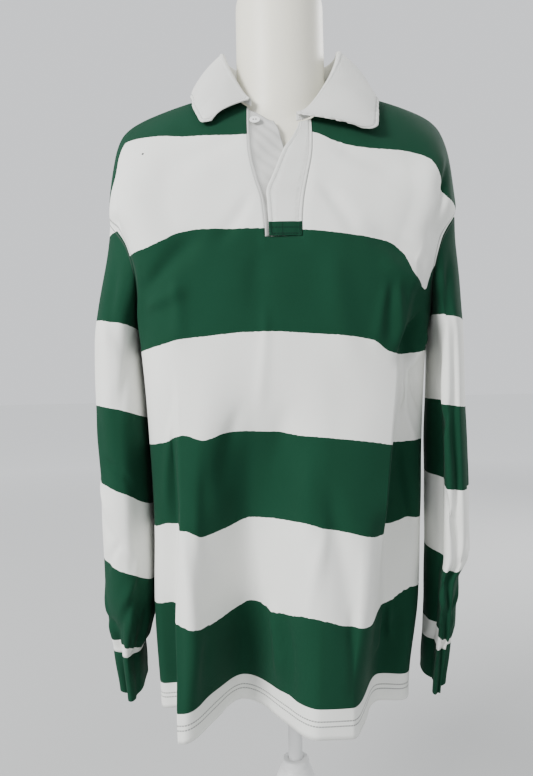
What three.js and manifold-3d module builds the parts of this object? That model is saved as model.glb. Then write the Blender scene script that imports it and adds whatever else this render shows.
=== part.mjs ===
import * as THREE from 'three';
import { mergeVertices } from 'three/addons/utils/BufferGeometryUtils.js';
import Module from 'manifold-3d';

// A long-sleeved rugby shirt on a limbless dress form that stands on a pole and a round base.
// Millimetres, +Z up. The shirt's front faces -Y, and left and right are the viewer's.
// The origin is the centre of the base's underside, on the surface that it stands on.

const WALL = 2; // thickness of the body and sleeve cloth
const TRIM_WALL = 1.6; // thickness of the collar and the placket strips
const SEAM = 0.3; // gap between pieces that are sewn together
const SLEEVE_OUT = 0.9; // how much further out a sleeve starts, where the armhole's edge bends
const SEAT = 0.6; // gap between the cloth and the form under it

// Body cut
const NECK_HALF = 66; // from the middle to the neck end of a shoulder seam
const NECK_TOP = 1121; // height of the neck end of a shoulder seam
const NECK_DROP = { left: 60, right: 80 }; // how far the front neckline falls, on each side of the slit
const NAPE_RISE = 2; // how far the back neckline rises at its middle
const NAPE_CROWN = 60; // how steeply the back rises under the collar
const SHOULDER_TIP = 950; // height of the top of the armhole seam
const UNDERARM = 815; // height of the bottom of the armhole seam
const ARMHOLE_INSET = 0.08; // how far the armhole cuts into the panels, as a share of the half width
const SHOULDER_FALL = 140; // height over which the cloth rounds from the shoulder seam to full depth
const SEAM_Y = 6; // the shoulder and side seams lie a little behind the middle
const SLIT_BOTTOM = 897; // height of the lower end of the placket slit
const HEM = 319; // height of the hem at the sides
const HEM_RISE = 12; // how much higher the hem hangs in the middle

// Shoulder line, from the neck out over the tip of the form and down to the top of the armhole seam
const SHOULDER = [
  { along: 0, left: 66, right: 66, z: 1121 },
  { along: 0.3, left: 114, right: 114, z: 1107 },
  { along: 0.55, left: 160, right: 160, z: 1092 },
  { along: 0.714, left: 191, right: 190, z: 1079 },
  { along: 0.8, left: 209, right: 206, z: 1066 },
  { along: 0.87, left: 219, right: 215, z: 1047 },
  { along: 0.93, left: 225, right: 220, z: 1010 },
  { along: 1, left: 230, right: 224, z: 950 },
];

// Level sections of the worn body: half widths, depths to the front and back, and how square each
// front corner is
const SECTIONS = [
  { z: 1125, left: 230, right: 224, front: 60, back: 88, cornerLeft: 3, cornerRight: 3 },
  { z: 1060, left: 230, right: 224, front: 80, back: 96, cornerLeft: 3, cornerRight: 3 },
  { z: 1000, left: 230, right: 224, front: 98, back: 103, cornerLeft: 3, cornerRight: 3 },
  { z: 950, left: 230, right: 224, front: 111, back: 106, cornerLeft: 3, cornerRight: 3 },
  { z: 900, left: 210, right: 205, front: 119, back: 106, cornerLeft: 3, cornerRight: 3 },
  { z: 850, left: 197, right: 193, front: 122, back: 104, cornerLeft: 3.2, cornerRight: 3 },
  { z: 815, left: 192, right: 188, front: 122, back: 103, cornerLeft: 3.4, cornerRight: 3 },
  { z: 770, left: 186, right: 181, front: 122, back: 104, cornerLeft: 3.6, cornerRight: 3 },
  { z: 660, left: 179, right: 174, front: 126, back: 110, cornerLeft: 4, cornerRight: 3 },
  { z: 550, left: 175, right: 170, front: 136, back: 118, cornerLeft: 4.4, cornerRight: 3 },
  { z: 450, left: 177, right: 165, front: 146, back: 127, cornerLeft: 4.8, cornerRight: 2.7 },
  { z: 319, left: 173, right: 151, front: 150, back: 134, cornerLeft: 5, cornerRight: 2.4 },
];
const BACK_CORNER = 2.8; // how square the back corners are

// Where the long front folds stand, as shares of the half width
const FOLD_LINES = [
  { z: 1000, left: 0.83, right: 0.84 },
  { z: 950, left: 0.83, right: 0.83 },
  { z: 900, left: 0.8, right: 0.77 },
  { z: 850, left: 0.75, right: 0.73 },
  { z: 660, left: 0.72, right: 0.74 },
  { z: 550, left: 0.76, right: 0.7 },
  { z: 450, left: 0.8, right: 0.66 },
  { z: 319, left: 0.85, right: 0.67 },
];

// The placket slit and the cloth below it: where its two edges lie
const SLIT = [
  { z: 1080, left: -45, right: 34 },
  { z: 1013, left: -41, right: 28 },
  { z: 970, left: -31.5, right: 18.5 },
  { z: 940, left: -25.6, right: 16.5 },
  { z: 897, left: -25.6, right: 17.3 },
  { z: 600, left: -38, right: 18 },
  { z: 319, left: -66, right: -4 },
];

// Folds of the front and back. Each stands at a share of the half width at its top and another at its
// foot, reaches so far to its left and right, and grows from its top down to where it is full. Depth
// is how far it lies back into the shirt where the body is deepest, and less towards the sides; below
// zero it stands out. Soften widens it towards its foot, spread moves it sideways, and a fold that
// fades ends between two lower heights.
const FOLDS = [
  { face: 'front', at: -0.78, foot: -0.93, top: 770, full: 319, left: 90, right: 9, depth: 94 },
  { face: 'front', at: -0.2, foot: -0.38, top: 790, full: 319, left: 66, right: 88, depth: 102 },
  { face: 'front', at: 0.82, foot: 0.85, top: 950, full: 319, left: 18, right: 80, depth: 84, soften: 1.9 },
  { face: 'back', at: -0.62, foot: -0.68, top: 860, full: 319, left: 46, right: 40, depth: 48 },
  { face: 'back', at: -0.1, foot: -0.16, top: 780, full: 319, left: 60, right: 48, depth: 50 },
  { face: 'back', at: 0.5, foot: 0.46, top: 900, full: 319, left: 48, right: 52, depth: 48 },
  {
    face: 'front', at: -0.85, foot: -0.86, top: 1070, full: 970, left: 26, right: 60, depth: -14,
    spread: 0.4, fade: 900, end: 815,
  },
  {
    face: 'front', at: 0.85, foot: 0.86, top: 1070, full: 980, left: 44, right: 26, depth: -14,
    spread: 0.3, fade: 900, end: 815,
  },
];
const FOLD_ONSET = 0.36; // share of a fold's height over which it sets in gently

// Sleeves, hanging flat from front to back: level sections, with distances from the middle plane
const SLEEVES = {
  left: [
    { z: 780, outer: 254, inner: 193, front: 84, back: 76 },
    { z: 700, outer: 253, inner: 187, front: 86, back: 78 },
    { z: 600, outer: 250, inner: 182, front: 86, back: 78 },
    { z: 520, outer: 248, inner: 181, front: 84, back: 76 },
    { z: 440, outer: 245, inner: 182, front: 78, back: 68 },
    { z: 405, outer: 242, inner: 190, front: 68, back: 58 },
    { z: 387, outer: 239, inner: 199, front: 60, back: 50 },
  ],
  right: [
    { z: 780, outer: 235, inner: 188, front: 86, back: 78 },
    { z: 700, outer: 236, inner: 185, front: 88, back: 80 },
    { z: 600, outer: 238, inner: 182, front: 88, back: 80 },
    { z: 510, outer: 239, inner: 180, front: 84, back: 76 },
    { z: 475, outer: 222, inner: 179, front: 80, back: 72 },
    { z: 405, outer: 216, inner: 177, front: 68, back: 58 },
    { z: 387, outer: 211, inner: 175, front: 60, back: 50 },
  ],
};
const SLEEVE_SLANT = { left: 0.1, right: 0.16 }; // how far the sleeves turn outwards towards the back
const SLEEVE_SQUARE = 2.4; // how square a sleeve's section is
const SLEEVE_PINCH = 0.75; // the most that folds draw a sleeve in sideways, as a share of its half width
const CUFF_TOP = 387; // height of the seam between sleeve and cuff

// Folds of the sleeves: degrees round from the outer side by the front, growing downwards
const SLEEVE_FOLDS = {
  left: [
    { angle: 62, top: 470, full: 387, reach: 34, depth: 12 },
    { angle: 120, top: 700, full: 560, reach: 30, depth: 6 },
    { angle: 250, top: 640, full: 430, reach: 34, depth: 10 },
  ],
  right: [
    { angle: 66, top: 860, full: 600, reach: 24, depth: 12 },
    { angle: 118, top: 520, full: 387, reach: 30, depth: 9 },
    { angle: 262, top: 660, full: 420, reach: 34, depth: 10 },
  ],
};

// Cuffs: drop of the lower edge at the front and back, and how much narrower it is than the seam
const CUFFS = {
  left: { frontDrop: 60, backDrop: 38, narrow: 0.82, lean: 4 },
  right: { frontDrop: 60, backDrop: 40, narrow: 0.82, lean: -5 },
};
const CUFF_ROWS = 2;

// Collar, by its place round the neck from the left front end (-1) by the nape (0) to the right front
// end (1): height of the fold over the neckline, how far it leans out, and the plan of the outer edge
const COLLAR = [
  { place: -1, rise: 10, lean: 3, edgeX: -98, edgeY: -73, lift: 5 },
  { place: -0.8, rise: 29, lean: 8, edgeX: -112, edgeY: -42, lift: 2 },
  { place: -0.6, rise: 45, lean: 13, edgeX: -117, edgeY: 0, lift: 2 },
  { place: -0.3, rise: 48, lean: 9, edgeX: -76, edgeY: 68, lift: 1 },
  { place: 0, rise: 49, lean: 9, edgeX: 0, edgeY: 90, lift: 1 },
  { place: 0.3, rise: 48, lean: 9, edgeX: 77, edgeY: 68, lift: 1 },
  { place: 0.6, rise: 45, lean: 13, edgeX: 120, edgeY: -2, lift: 2 },
  { place: 0.8, rise: 29, lean: 8, edgeX: 119, edgeY: -46, lift: 4 },
  { place: 1, rise: 10, lean: 3, edgeX: 110, edgeY: -80, lift: 8 },
];
const COLLAR_SIDE = 0.6; // place of the shoulder seams round the neck
const COLLAR_END = { left: 40, right: 16 }; // where the collar's front ends stand
const COLLAR_BEND = 3.5; // radius of the fold
const COLLAR_BASE = 3; // height of the stand's lower edge over the neckline, clear of the panels' slope
const COLLAR_CLEAR = 3.2; // how far the leaf's outside stands off the cloth it lies on
const COLLAR_GRID = { along: 30, stand: 2, bend: 4, leaf: 3 };

// Placket strips, by height: the free edge of the upper one and the right edge of the lower one
const STRIPS = [
  { z: 1066, over: 18, under: -26 },
  { z: 1049, over: 17, under: -11 },
  { z: 1030, over: 9, under: -5 },
  { z: 1010, over: -2, under: -1.5 },
  { z: 964, over: -15, under: 7 },
  { z: 940, over: -20, under: 11 },
  { z: 897, over: -21, under: 13 },
];
const OVER_LIFT = 0.9; // how far the upper strip stands proud of the panel
const UNDER_SINK = 2.8; // how far the lower strip lies behind the panel's outside
const UNDER_RUN = 1 / 6; // share of its width over which the lower strip sinks from its seam
const STRIP_ENDS = { top: 0.004, bottom: 0.998 }; // where the strips begin and end down the slit
const STRIP_COLUMNS = [0, 0.1, 0.4, 0.7, 1]; // where the strips have grid columns across
const STRIP_ROWS = 12;
const SHARE_STEP = 0.01; // how far apart the points are that give a strip its slope

// The button lies on the lower strip, at shares across and down it
const BUTTON = {
  across: 0.24, down: 0.1, stand: 1.3, radius: 6.5, thick: 2.6, rim: 1, hole: 0.9, spacing: 3.2,
};

// Grid of the panels: cells between the marks across, and rows above and below the underarm
const FRONT_MARKS = [
  { share: -1, cells: 4 },
  { share: -0.8, cells: 6 },
  { share: -0.3, cells: 4 },
  { share: -0.1, cells: 4 },
  { share: 0.1, cells: 4 },
  { share: 0.3, cells: 6 },
  { share: 0.8, cells: 4 },
  { share: 1, cells: 0 },
];
const BACK_MARKS = [
  { share: -1, cells: 4 },
  { share: -0.8, cells: 4 },
  { share: -0.3, cells: 6 },
  { share: 0.3, cells: 4 },
  { share: 0.8, cells: 4 },
  { share: 1, cells: 0 },
];
const NECK_SHARE = 0.3; // share of the panel's width taken by half the neckline
const SLIT_SHARE = 0.1;
const FOLD_SHARE = 0.8;
const ROWS_ABOVE = 12;
const ROWS_BELOW = 14;
const ROW_CROWD = { neck: 1.6, armhole: 1 }; // how closely the upper rows crowd at the shoulder
const SETTLE = 2.5; // how much sooner the columns beside the armhole take up their line
const SLEEVE_HEAD_ROWS = 5;
const SLEEVE_ROWS = 16;

// Form and stand
const NECK = [
  { radius: 60, height: 1030 },
  { radius: 62, height: 1085 },
  { radius: 60.5, height: 1110 },
  { radius: 59, height: 1135 },
  { radius: 58.5, height: 1232 },
  { radius: 55, height: 1241 },
  { radius: 45, height: 1247 },
  { radius: 24, height: 1251 },
];
const NECK_ENDS = { bottom: 1030, top: 1252 };
const FORM = [
  { z: 1110, half: 150, front: 64, back: 66, square: 2.1 },
  { z: 1060, half: 200, front: 72, back: 84, square: 2.2 },
  { z: 1020, half: 192, front: 84, back: 92, square: 2.3 },
  { z: 960, half: 166, front: 98, back: 94, square: 2.3 },
  { z: 890, half: 150, front: 106, back: 88, square: 2.2 },
  { z: 820, half: 138, front: 96, back: 76, square: 2.2 },
  { z: 730, half: 120, front: 84, back: 68, square: 2.2 },
  { z: 640, half: 122, front: 66, back: 66, square: 2.2 },
  { z: 540, half: 130, front: 60, back: 62, square: 2.3 },
  { z: 450, half: 126, front: 54, back: 58, square: 2.3 },
];
const FORM_LEVELS = [
  440, 446, 500, 570, 640, 710, 780, 840, 900, 950,
  990, 1020, 1042, 1060, 1075, 1087, 1097, 1105, 1111, 1115,
];
const FORM_BOTTOM = FORM_LEVELS[0];
const FORM_EDGE = 6; // how far the lowest ring of the form is drawn in
const FORM_TIP = 1055; // above this the form fills the shoulders of the cloth
const FORM_DROP = 4.4; // how far the form stays below the cloth's outside, where that slopes
const SLIT_ROOM = 6; // more room behind the placket strips
const NAPE_ROOM = 8.5; // more room under the back of the collar, where the cloth bends sharply
const ROOM_REACH = { front: 24, back: 55 }; // how far beyond the neck that room goes
const FORM_AROUND = 32;
const POLE = { radius: 9.5, bottom: 160 };
const HUB = [
  { radius: 17, height: 128 },
  { radius: 17, height: 158 },
  { radius: 26, height: 170 },
  { radius: 26, height: 202 },
  { radius: 20, height: 216 },
  { radius: 18, height: 218 },
  { radius: 18, height: 226 },
  { radius: 16, height: 228 },
];
const HUB_BORE = 9.8; // radius of the hole that the pole stands in
const COLUMN = { radius: 15, top: 127.7, bottom: 22.3 };
const BASE = [
  { radius: 182, height: 0 },
  { radius: 185, height: 3 },
  { radius: 185, height: 6 },
  { radius: 182, height: 9 },
  { radius: 34, height: 20 },
  { radius: 26, height: 22 },
];
const ROUND_SIDES = 28;
const BASE_SIDES = 48;

const FINISHES = {
  jersey: { color: '#1f5238', roughness: 0.9 },
  ribbing: { color: '#1f5238', roughness: 0.95 },
  twill: { color: '#dededa', roughness: 0.85 },
  button: { color: '#dededa', roughness: 0.35 },
  form: { color: '#e2e0d2', roughness: 0.35 },
  stand: { color: '#d9dad8', roughness: 0.3 },
};

function clamp01(value) {
  return Math.min(1, Math.max(0, value));
}

function ease(value) {
  const t = clamp01(value);
  return t * t * (3 - 2 * t);
}

function mix(from, to, t) {
  return from + (to - from) * t;
}

// Reads any named column of a table at a value of its key column, on a smooth curve that never
// swings past the rows on either side.
class Table {
  constructor(rows, key) {
    this.rows = [...rows].sort((a, b) => a[key] - b[key]);
    this.key = key;
  }

  slope(index, name) {
    const { rows, key } = this;
    if (index === 0 || index === rows.length - 1) {
      return 0;
    }
    const rise = (low, high) => (high[name] - low[name]) / (high[key] - low[key]);
    const before = rise(rows[index - 1], rows[index]);
    const after = rise(rows[index], rows[index + 1]);
    return before * after <= 0 ? 0 : (2 * before * after) / (before + after);
  }

  at(value, name) {
    const { rows, key } = this;
    const last = rows.length - 1;
    if (value <= rows[0][key]) {
      return rows[0][name];
    }
    if (value >= rows[last][key]) {
      return rows[last][name];
    }
    const next = rows.findIndex((row) => row[key] > value);
    const low = rows[next - 1];
    const high = rows[next];
    const span = high[key] - low[key];
    const t = (value - low[key]) / span;
    const lift = high[name] - low[name];
    const start = this.slope(next - 1, name) * span;
    const stop = this.slope(next, name) * span;
    const bend = 3 * lift - 2 * start - stop;
    const swing = start + stop - 2 * lift;
    return low[name] + start * t + bend * t ** 2 + swing * t ** 3;
  }
}

const sections = new Table(SECTIONS, 'z');
const foldLines = new Table(FOLD_LINES, 'z');
const slit = new Table(SLIT, 'z');
const strips = new Table(STRIPS, 'z');
const shoulderAlong = new Table(SHOULDER, 'along');
const shoulderAcross = { left: new Table(SHOULDER, 'left'), right: new Table(SHOULDER, 'right') };
const shoulderLevel = new Table(SHOULDER, 'z');
const collarTable = new Table(COLLAR, 'place');
const formTable = new Table(FORM, 'z');

const wasm = await Module();
wasm.setup();

const FACES = {
  front: { name: 'front', sign: -1, marks: FRONT_MARKS },
  back: { name: 'back', sign: 1, marks: BACK_MARKS },
};

function sideOf(x) {
  return x < 0 ? 'left' : 'right';
}

// Height of the shoulder line over a point, which on the back goes on up under the collar.
function crownHeight(face, x) {
  const reach = Math.abs(x);
  if (reach >= NECK_HALF) {
    return shoulderAcross[sideOf(x)].at(reach, 'z');
  }
  const rise = face.name === 'back' ? NAPE_CROWN * (1 - (reach / NECK_HALF) ** 2) : 0;
  return NECK_TOP + rise;
}

// How far down its own height a fold has come.
function foldProgress(fold, z) {
  return clamp01((fold.top - z) / (fold.top - fold.full));
}

// How strongly a fold shows at a height.
function foldStrength(fold, z) {
  const along = foldProgress(fold, z);
  const left = fold.end ? 1 - ease((fold.fade - z) / (fold.fade - fold.end)) : 1;
  return along * ease(along / FOLD_ONSET) * left;
}

// Moves a point of a face by the folds that pass it.
function foldPoint(face, point) {
  const { x, z } = point;
  const deep = Math.abs(point.y - SEAM_Y) / (sections.at(z, face.name) - face.sign * SEAM_Y);
  for (const fold of FOLDS.filter((each) => each.face === face.name)) {
    const along = foldProgress(fold, z);
    const away = x - mix(fold.at, fold.foot, along) * sections.at(z, sideOf(fold.at));
    const reach = (away < 0 ? fold.left : fold.right) * mix(1, fold.soften ?? 1, along);
    const shape = Math.abs(away) < reach ? 0.5 + 0.5 * Math.cos((Math.PI * away) / reach) : 0;
    const move = fold.depth * foldStrength(fold, z) * shape * deep;
    point.y -= face.sign * move;
    point.x -= Math.sign(x) * move * (fold.spread ?? 0);
  }
  return point;
}

// The half width of a panel at a height, which the armhole makes less than the body's.
function edgeShare(z) {
  if (z >= SHOULDER_TIP || z <= UNDERARM) {
    return 1;
  }
  const along = (SHOULDER_TIP - z) / (SHOULDER_TIP - UNDERARM);
  return 1 - ARMHOLE_INSET * Math.sin(Math.PI * along);
}

// The outside of the cloth without its folds, over a point of the plane between front and back.
function smoothCloth(face, x, z) {
  const side = sideOf(x);
  const half = sections.at(z, side);
  const corner = face.name === 'front' ? `corner${side === 'left' ? 'Left' : 'Right'}` : 'cornerLeft';
  const square = face.name === 'front' ? sections.at(z, corner) : BACK_CORNER;
  const round = (1 - Math.min(1, Math.abs(x) / half) ** square) ** (1 / square);
  const drop = clamp01((crownHeight(face, x) - z) / SHOULDER_FALL);
  const over = Math.sqrt(1 - (1 - drop) ** 2);
  const depth = sections.at(z, face.name) - face.sign * SEAM_Y;
  return SEAM_Y + face.sign * depth * round * over;
}

function clothPoint(face, x, z) {
  return foldPoint(face, new THREE.Vector3(x, smoothCloth(face, x, z), z));
}

// The upper edge of a panel: the neckline in the middle, then the shoulder seams.
function topEdge(face, share) {
  const reach = Math.abs(share);
  if (reach >= NECK_SHARE) {
    const along = (reach - NECK_SHARE) / (1 - NECK_SHARE);
    const x = Math.sign(share) * shoulderAlong.at(along, sideOf(share));
    return { x, z: shoulderAlong.at(along, 'z') };
  }
  if (face.name === 'back') {
    const x = NECK_HALF * Math.sin((Math.PI / 2) * (share / NECK_SHARE));
    return { x, z: NECK_TOP + NAPE_RISE * (1 - (x / NECK_HALF) ** 2) };
  }
  const top = slit.at(NECK_TOP, sideOf(share));
  const beyond = (reach - SLIT_SHARE) / (NECK_SHARE - SLIT_SHARE);
  const outside = mix(top, Math.sign(share) * NECK_HALF, beyond);
  const x = reach > SLIT_SHARE ? outside : slitAcross(share, NECK_TOP);
  return { x, z: necklineHeight(x) };
}

function necklineHeight(x) {
  const across = slit.at(NECK_TOP, 'right') - slit.at(NECK_TOP, 'left');
  const drop = mix(NECK_DROP.left, NECK_DROP.right, ease((x - slit.at(NECK_TOP, 'left')) / across));
  return NECK_TOP - drop * Math.sqrt(Math.max(0, 1 - (x / NECK_HALF) ** 2));
}

function slitAcross(share, z) {
  return mix(slit.at(z, 'left'), slit.at(z, 'right'), (share + SLIT_SHARE) / (2 * SLIT_SHARE));
}

// Where a column of the panel's grid lies at a height below the shoulder.
function lineAcross(face, share, z) {
  const side = sideOf(share);
  const sign = Math.sign(share);
  const half = sections.at(z, side);
  const edge = half * edgeShare(z);
  const reach = Math.abs(share);
  if (face.name === 'back') {
    return share * edge;
  }
  if (reach <= SLIT_SHARE) {
    return slitAcross(share, z);
  }
  const fold = half * foldLines.at(z, side);
  if (reach <= FOLD_SHARE) {
    return mix(slit.at(z, side), sign * fold, (reach - SLIT_SHARE) / (FOLD_SHARE - SLIT_SHARE));
  }
  return sign * mix(fold, edge, (reach - FOLD_SHARE) / (1 - FOLD_SHARE));
}

// The widest that a panel is at a height.
function widest(side, z) {
  return z >= SHOULDER_TIP ? shoulderLevel.at(z, side) : sections.at(z, side) * edgeShare(z);
}

// A point of a panel: its share across, and how far down, from 0 at the top by 1 at the row of the
// underarm to 2 at the hem.
function panelPoint(face, share, down) {
  const top = topEdge(face, share);
  const beside = clamp01((Math.abs(share) - SLIT_SHARE) / (1 - SLIT_SHARE));
  const middle = mix(SLIT_BOTTOM, UNDERARM, beside ** 2);
  const hem = HEM + HEM_RISE * (1 - share ** 2);
  if (down >= 1) {
    const z = mix(middle, hem, down - 1);
    return clothPoint(face, lineAcross(face, share, z), z);
  }
  const z = mix(top.z, middle, down);
  const line = lineAcross(face, share, z);
  const limit = widest(sideOf(share), z);
  const settle = ease(down * (1 + SETTLE * beside ** 3));
  const across = mix(top.x, line, settle);
  const most = limit * mix(1, Math.min(1, Math.abs(line) / limit), settle);
  const x = Math.abs(across) > most ? Math.sign(across) * most : across;
  return clothPoint(face, x, z);
}

// Normals of a grid of points, from its neighbours along and across.
function gridNormals(points, wraps) {
  const rows = points.length;
  const columns = points[0].length;
  return points.map((row, r) =>
    row.map((_, c) => {
      const up = points[Math.max(0, r - 1)][c];
      const down = points[Math.min(rows - 1, r + 1)][c];
      const left = row[wraps ? (c + columns - 1) % columns : Math.max(0, c - 1)];
      const right = row[wraps ? (c + 1) % columns : Math.min(columns - 1, c + 1)];
      const along = new THREE.Vector3().subVectors(down, up);
      const across = new THREE.Vector3().subVectors(right, left);
      return across.cross(along).normalize();
    }),
  );
}

function facing(normals, direction) {
  const middle = normals[Math.floor(normals.length / 2)][Math.floor(normals[0].length / 2)];
  if (middle.dot(direction) < 0) {
    normals.forEach((row) => row.forEach((normal) => normal.negate()));
  }
  return normals;
}

// A closed wall of cloth between a grid of outer points and the same grid moved in. Cells that are
// cut away leave an opening, and every free edge gets its own narrow face.
function clothWall(outer, normals, { thick = WALL, wraps = false, isCut = () => false } = {}) {
  const rows = outer.length;
  const columns = outer[0].length;
  const cellsAcross = wraps ? columns : columns - 1;
  const positions = [];
  const ids = new Map();
  const vertex = (r, c, inside) => {
    const column = c % columns;
    const key = `${r} ${column} ${inside}`;
    if (!ids.has(key)) {
      const point = outer[r][column].clone();
      if (inside) {
        point.addScaledVector(normals[r][column], -thick);
      }
      ids.set(key, positions.length / 3);
      positions.push(point.x, point.y, point.z);
    }
    return ids.get(key);
  };
  const kept = (r, c) => {
    const column = wraps ? (c + columns) % columns : c;
    return r >= 0 && r < rows - 1 && column >= 0 && column < cellsAcross && !isCut(r, column);
  };
  const faces = [];
  const quad = (a, b, c, d) => faces.push(a, b, c, a, c, d);
  const outerPoint = ([row, column]) => outer[row][column % columns];
  const spanned = (from, to) => outerPoint(from).distanceTo(outerPoint(to));
  for (let r = 0; r < rows - 1; r += 1) {
    for (let c = 0; c < cellsAcross; c += 1) {
      if (kept(r, c)) {
        const corners = [[r, c], [r + 1, c], [r + 1, c + 1], [r, c + 1]];
        const turnedOver = spanned(corners[0], corners[2]) > spanned(corners[1], corners[3]);
        const cell = turnedOver ? [...corners.slice(1), corners[0]] : corners;
        const inner = cell.map(([row, column]) => vertex(row, column, true));
        quad(...cell.map(([row, column]) => vertex(row, column, false)));
        quad(inner[2], inner[1], inner[0], inner[3]);
        const neighbours = [[r, c - 1], [r + 1, c], [r, c + 1], [r - 1, c]];
        neighbours.forEach(([row, column], side) => {
          if (!kept(row, column)) {
            const from = corners[side];
            const to = corners[(side + 1) % 4];
            const rim = [vertex(...from, true), vertex(...to, true)];
            quad(vertex(...to, false), vertex(...from, false), ...rim);
          }
        });
      }
    }
  }
  return closedGeometry(positions, faces);
}

// A body from its points and faces, turned so that the faces look out.
function closedGeometry(positions, faces) {
  const corner = (index) => new THREE.Vector3().fromArray(positions, faces[index] * 3);
  let volume = 0;
  for (let f = 0; f < faces.length; f += 3) {
    volume += corner(f).dot(corner(f + 1).cross(corner(f + 2)));
  }
  const turned = [];
  for (let f = 0; f < faces.length; f += 3) {
    turned.push(faces[f], ...(volume > 0 ? [faces[f + 1], faces[f + 2]] : [faces[f + 2], faces[f + 1]]));
  }
  const geometry = new THREE.BufferGeometry();
  geometry.setAttribute('position', new THREE.Float32BufferAttribute(positions, 3));
  geometry.setIndex(turned);
  geometry.computeVertexNormals();
  return geometry;
}

// The shares across at which a panel has its grid columns.
function columnShares(marks) {
  const shares = [];
  for (let m = 0; m < marks.length - 1; m += 1) {
    for (let cell = 0; cell < marks[m].cells; cell += 1) {
      shares.push(mix(marks[m].share, marks[m + 1].share, cell / marks[m].cells));
    }
  }
  return [...shares, marks[marks.length - 1].share];
}

// How far down each row of a column lies: crowded at the neck, and even below the underarm.
function rowSteps(share) {
  const crowd = mix(ROW_CROWD.neck, ROW_CROWD.armhole, share ** 4);
  const above = Array.from({ length: ROWS_ABOVE }, (_, r) => (r / ROWS_ABOVE) ** crowd);
  const below = Array.from({ length: ROWS_BELOW + 1 }, (_, r) => 1 + r / ROWS_BELOW);
  return [...above, ...below];
}

// A panel's outer points and normals. Along the shoulder and side seams the wall's end is square to
// the seam, half a seam gap from the middle, so that front and back meet face to face.
function panelGrid(face) {
  const shares = columnShares(face.marks);
  const columns = shares.map((share) => rowSteps(share).map((down) => panelPoint(face, share, down)));
  const points = columns[0].map((_, r) => columns.map((column) => column[r]));
  const normals = facing(gridNormals(points, false), new THREE.Vector3(0, face.sign, 0));
  const last = shares.length - 1;
  const square = (r, c) => {
    points[r][c].y = SEAM_Y + (face.sign * SEAM) / 2;
    normals[r][c].y = 0;
    normals[r][c].normalize();
  };
  shares.forEach((share, c) => {
    if (Math.abs(share) >= NECK_SHARE - 1e-6) {
      square(0, c);
    }
  });
  for (let r = 0; r < points.length; r += 1) {
    if (r === 0 || r >= ROWS_ABOVE) {
      square(r, 0);
      square(r, last);
    }
  }
  return { points, normals, shares };
}

const grids = { front: panelGrid(FACES.front), back: panelGrid(FACES.back) };

function frontPanel() {
  const { points, normals, shares } = grids.front;
  const inSlit = (c) => Math.abs((shares[c] + shares[c + 1]) / 2) < SLIT_SHARE;
  return clothWall(points, normals, { isCut: (r, c) => r < ROWS_ABOVE && inSlit(c) });
}

function backPanel() {
  const { points, normals } = grids.back;
  return clothWall(points, normals);
}

// The first ring of a sleeve: the armhole's own points, a seam gap further out, from the shoulder
// tip down the front to the underarm and up the back.
function armholeRing(side) {
  const ring = [];
  const add = (grid, r) => {
    const last = grid.shares.length - 1;
    const [edge, beside] = side === 'left' ? [0, 1] : [last, last - 1];
    const normal = grid.normals[r][edge].clone();
    const point = grid.points[r][edge].clone();
    const inner = new THREE.Vector3().subVectors(point, grid.points[r][beside]);
    const [above, below] = [Math.max(0, r - 1), Math.min(ROWS_ABOVE, r + 1)];
    const along = new THREE.Vector3().subVectors(grid.points[below][edge], grid.points[above][edge]);
    const away = along.cross(normal).normalize();
    away.multiplyScalar(Math.sign(away.dot(inner)));
    point.addScaledVector(away, SEAM).setX(point.x + Math.sign(point.x) * SLEEVE_OUT);
    ring.push({ point, normal });
  };
  for (let r = 0; r <= ROWS_ABOVE; r += 1) {
    add(grids.front, r);
  }
  for (let r = ROWS_ABOVE - 1; r > 0; r -= 1) {
    add(grids.back, r);
  }
  for (const index of [0, ROWS_ABOVE]) {
    ring[index].point.setY(SEAM_Y);
  }
  ring[0].point.z -= SEAM;
  return ring;
}

function power(value, square) {
  return Math.sign(value) * Math.abs(value) ** (2 / square);
}

// A point of a sleeve or cuff, at an angle round from the outer side by the front.
function sleevePoint(side, angle, section, z, narrow = 1) {
  const sign = side === 'left' ? -1 : 1;
  const middle = (section.outer + section.inner) / 2;
  const half = ((section.outer - section.inner) / 2) * narrow;
  const depth = Math.sin(angle) > 0 ? section.front : section.back;
  let inward = 0;
  for (const fold of SLEEVE_FOLDS[side]) {
    const away = Math.abs(THREE.MathUtils.radToDeg(angle) - fold.angle);
    const strength = ease((fold.top - z) / (fold.top - fold.full));
    const shape = away < fold.reach ? 0.5 + 0.5 * Math.cos((Math.PI * away) / fold.reach) : 0;
    inward += fold.depth * strength * shape;
  }
  const across = power(Math.cos(angle), SLEEVE_SQUARE);
  const along = power(Math.sin(angle), SLEEVE_SQUARE);
  const deepest = half * SLEEVE_PINCH;
  const shrinkX = Math.min(inward, deepest) * Math.cos(angle);
  const back = inward * Math.sin(angle) - depth * narrow * along;
  const x = middle + half * across - shrinkX + SLEEVE_SLANT[side] * back;
  return new THREE.Vector3(sign * x, SEAM_Y + back, z);
}

function sleeveSection(side, z) {
  const table = sleeveTables[side];
  const [outer, inner] = [table.at(z, 'outer'), table.at(z, 'inner')];
  return { outer, inner, front: table.at(z, 'front'), back: table.at(z, 'back') };
}

const sleeveTables = { left: new Table(SLEEVES.left, 'z'), right: new Table(SLEEVES.right, 'z') };

function ringAngle(index, count) {
  return (2 * Math.PI * index) / count;
}

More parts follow.
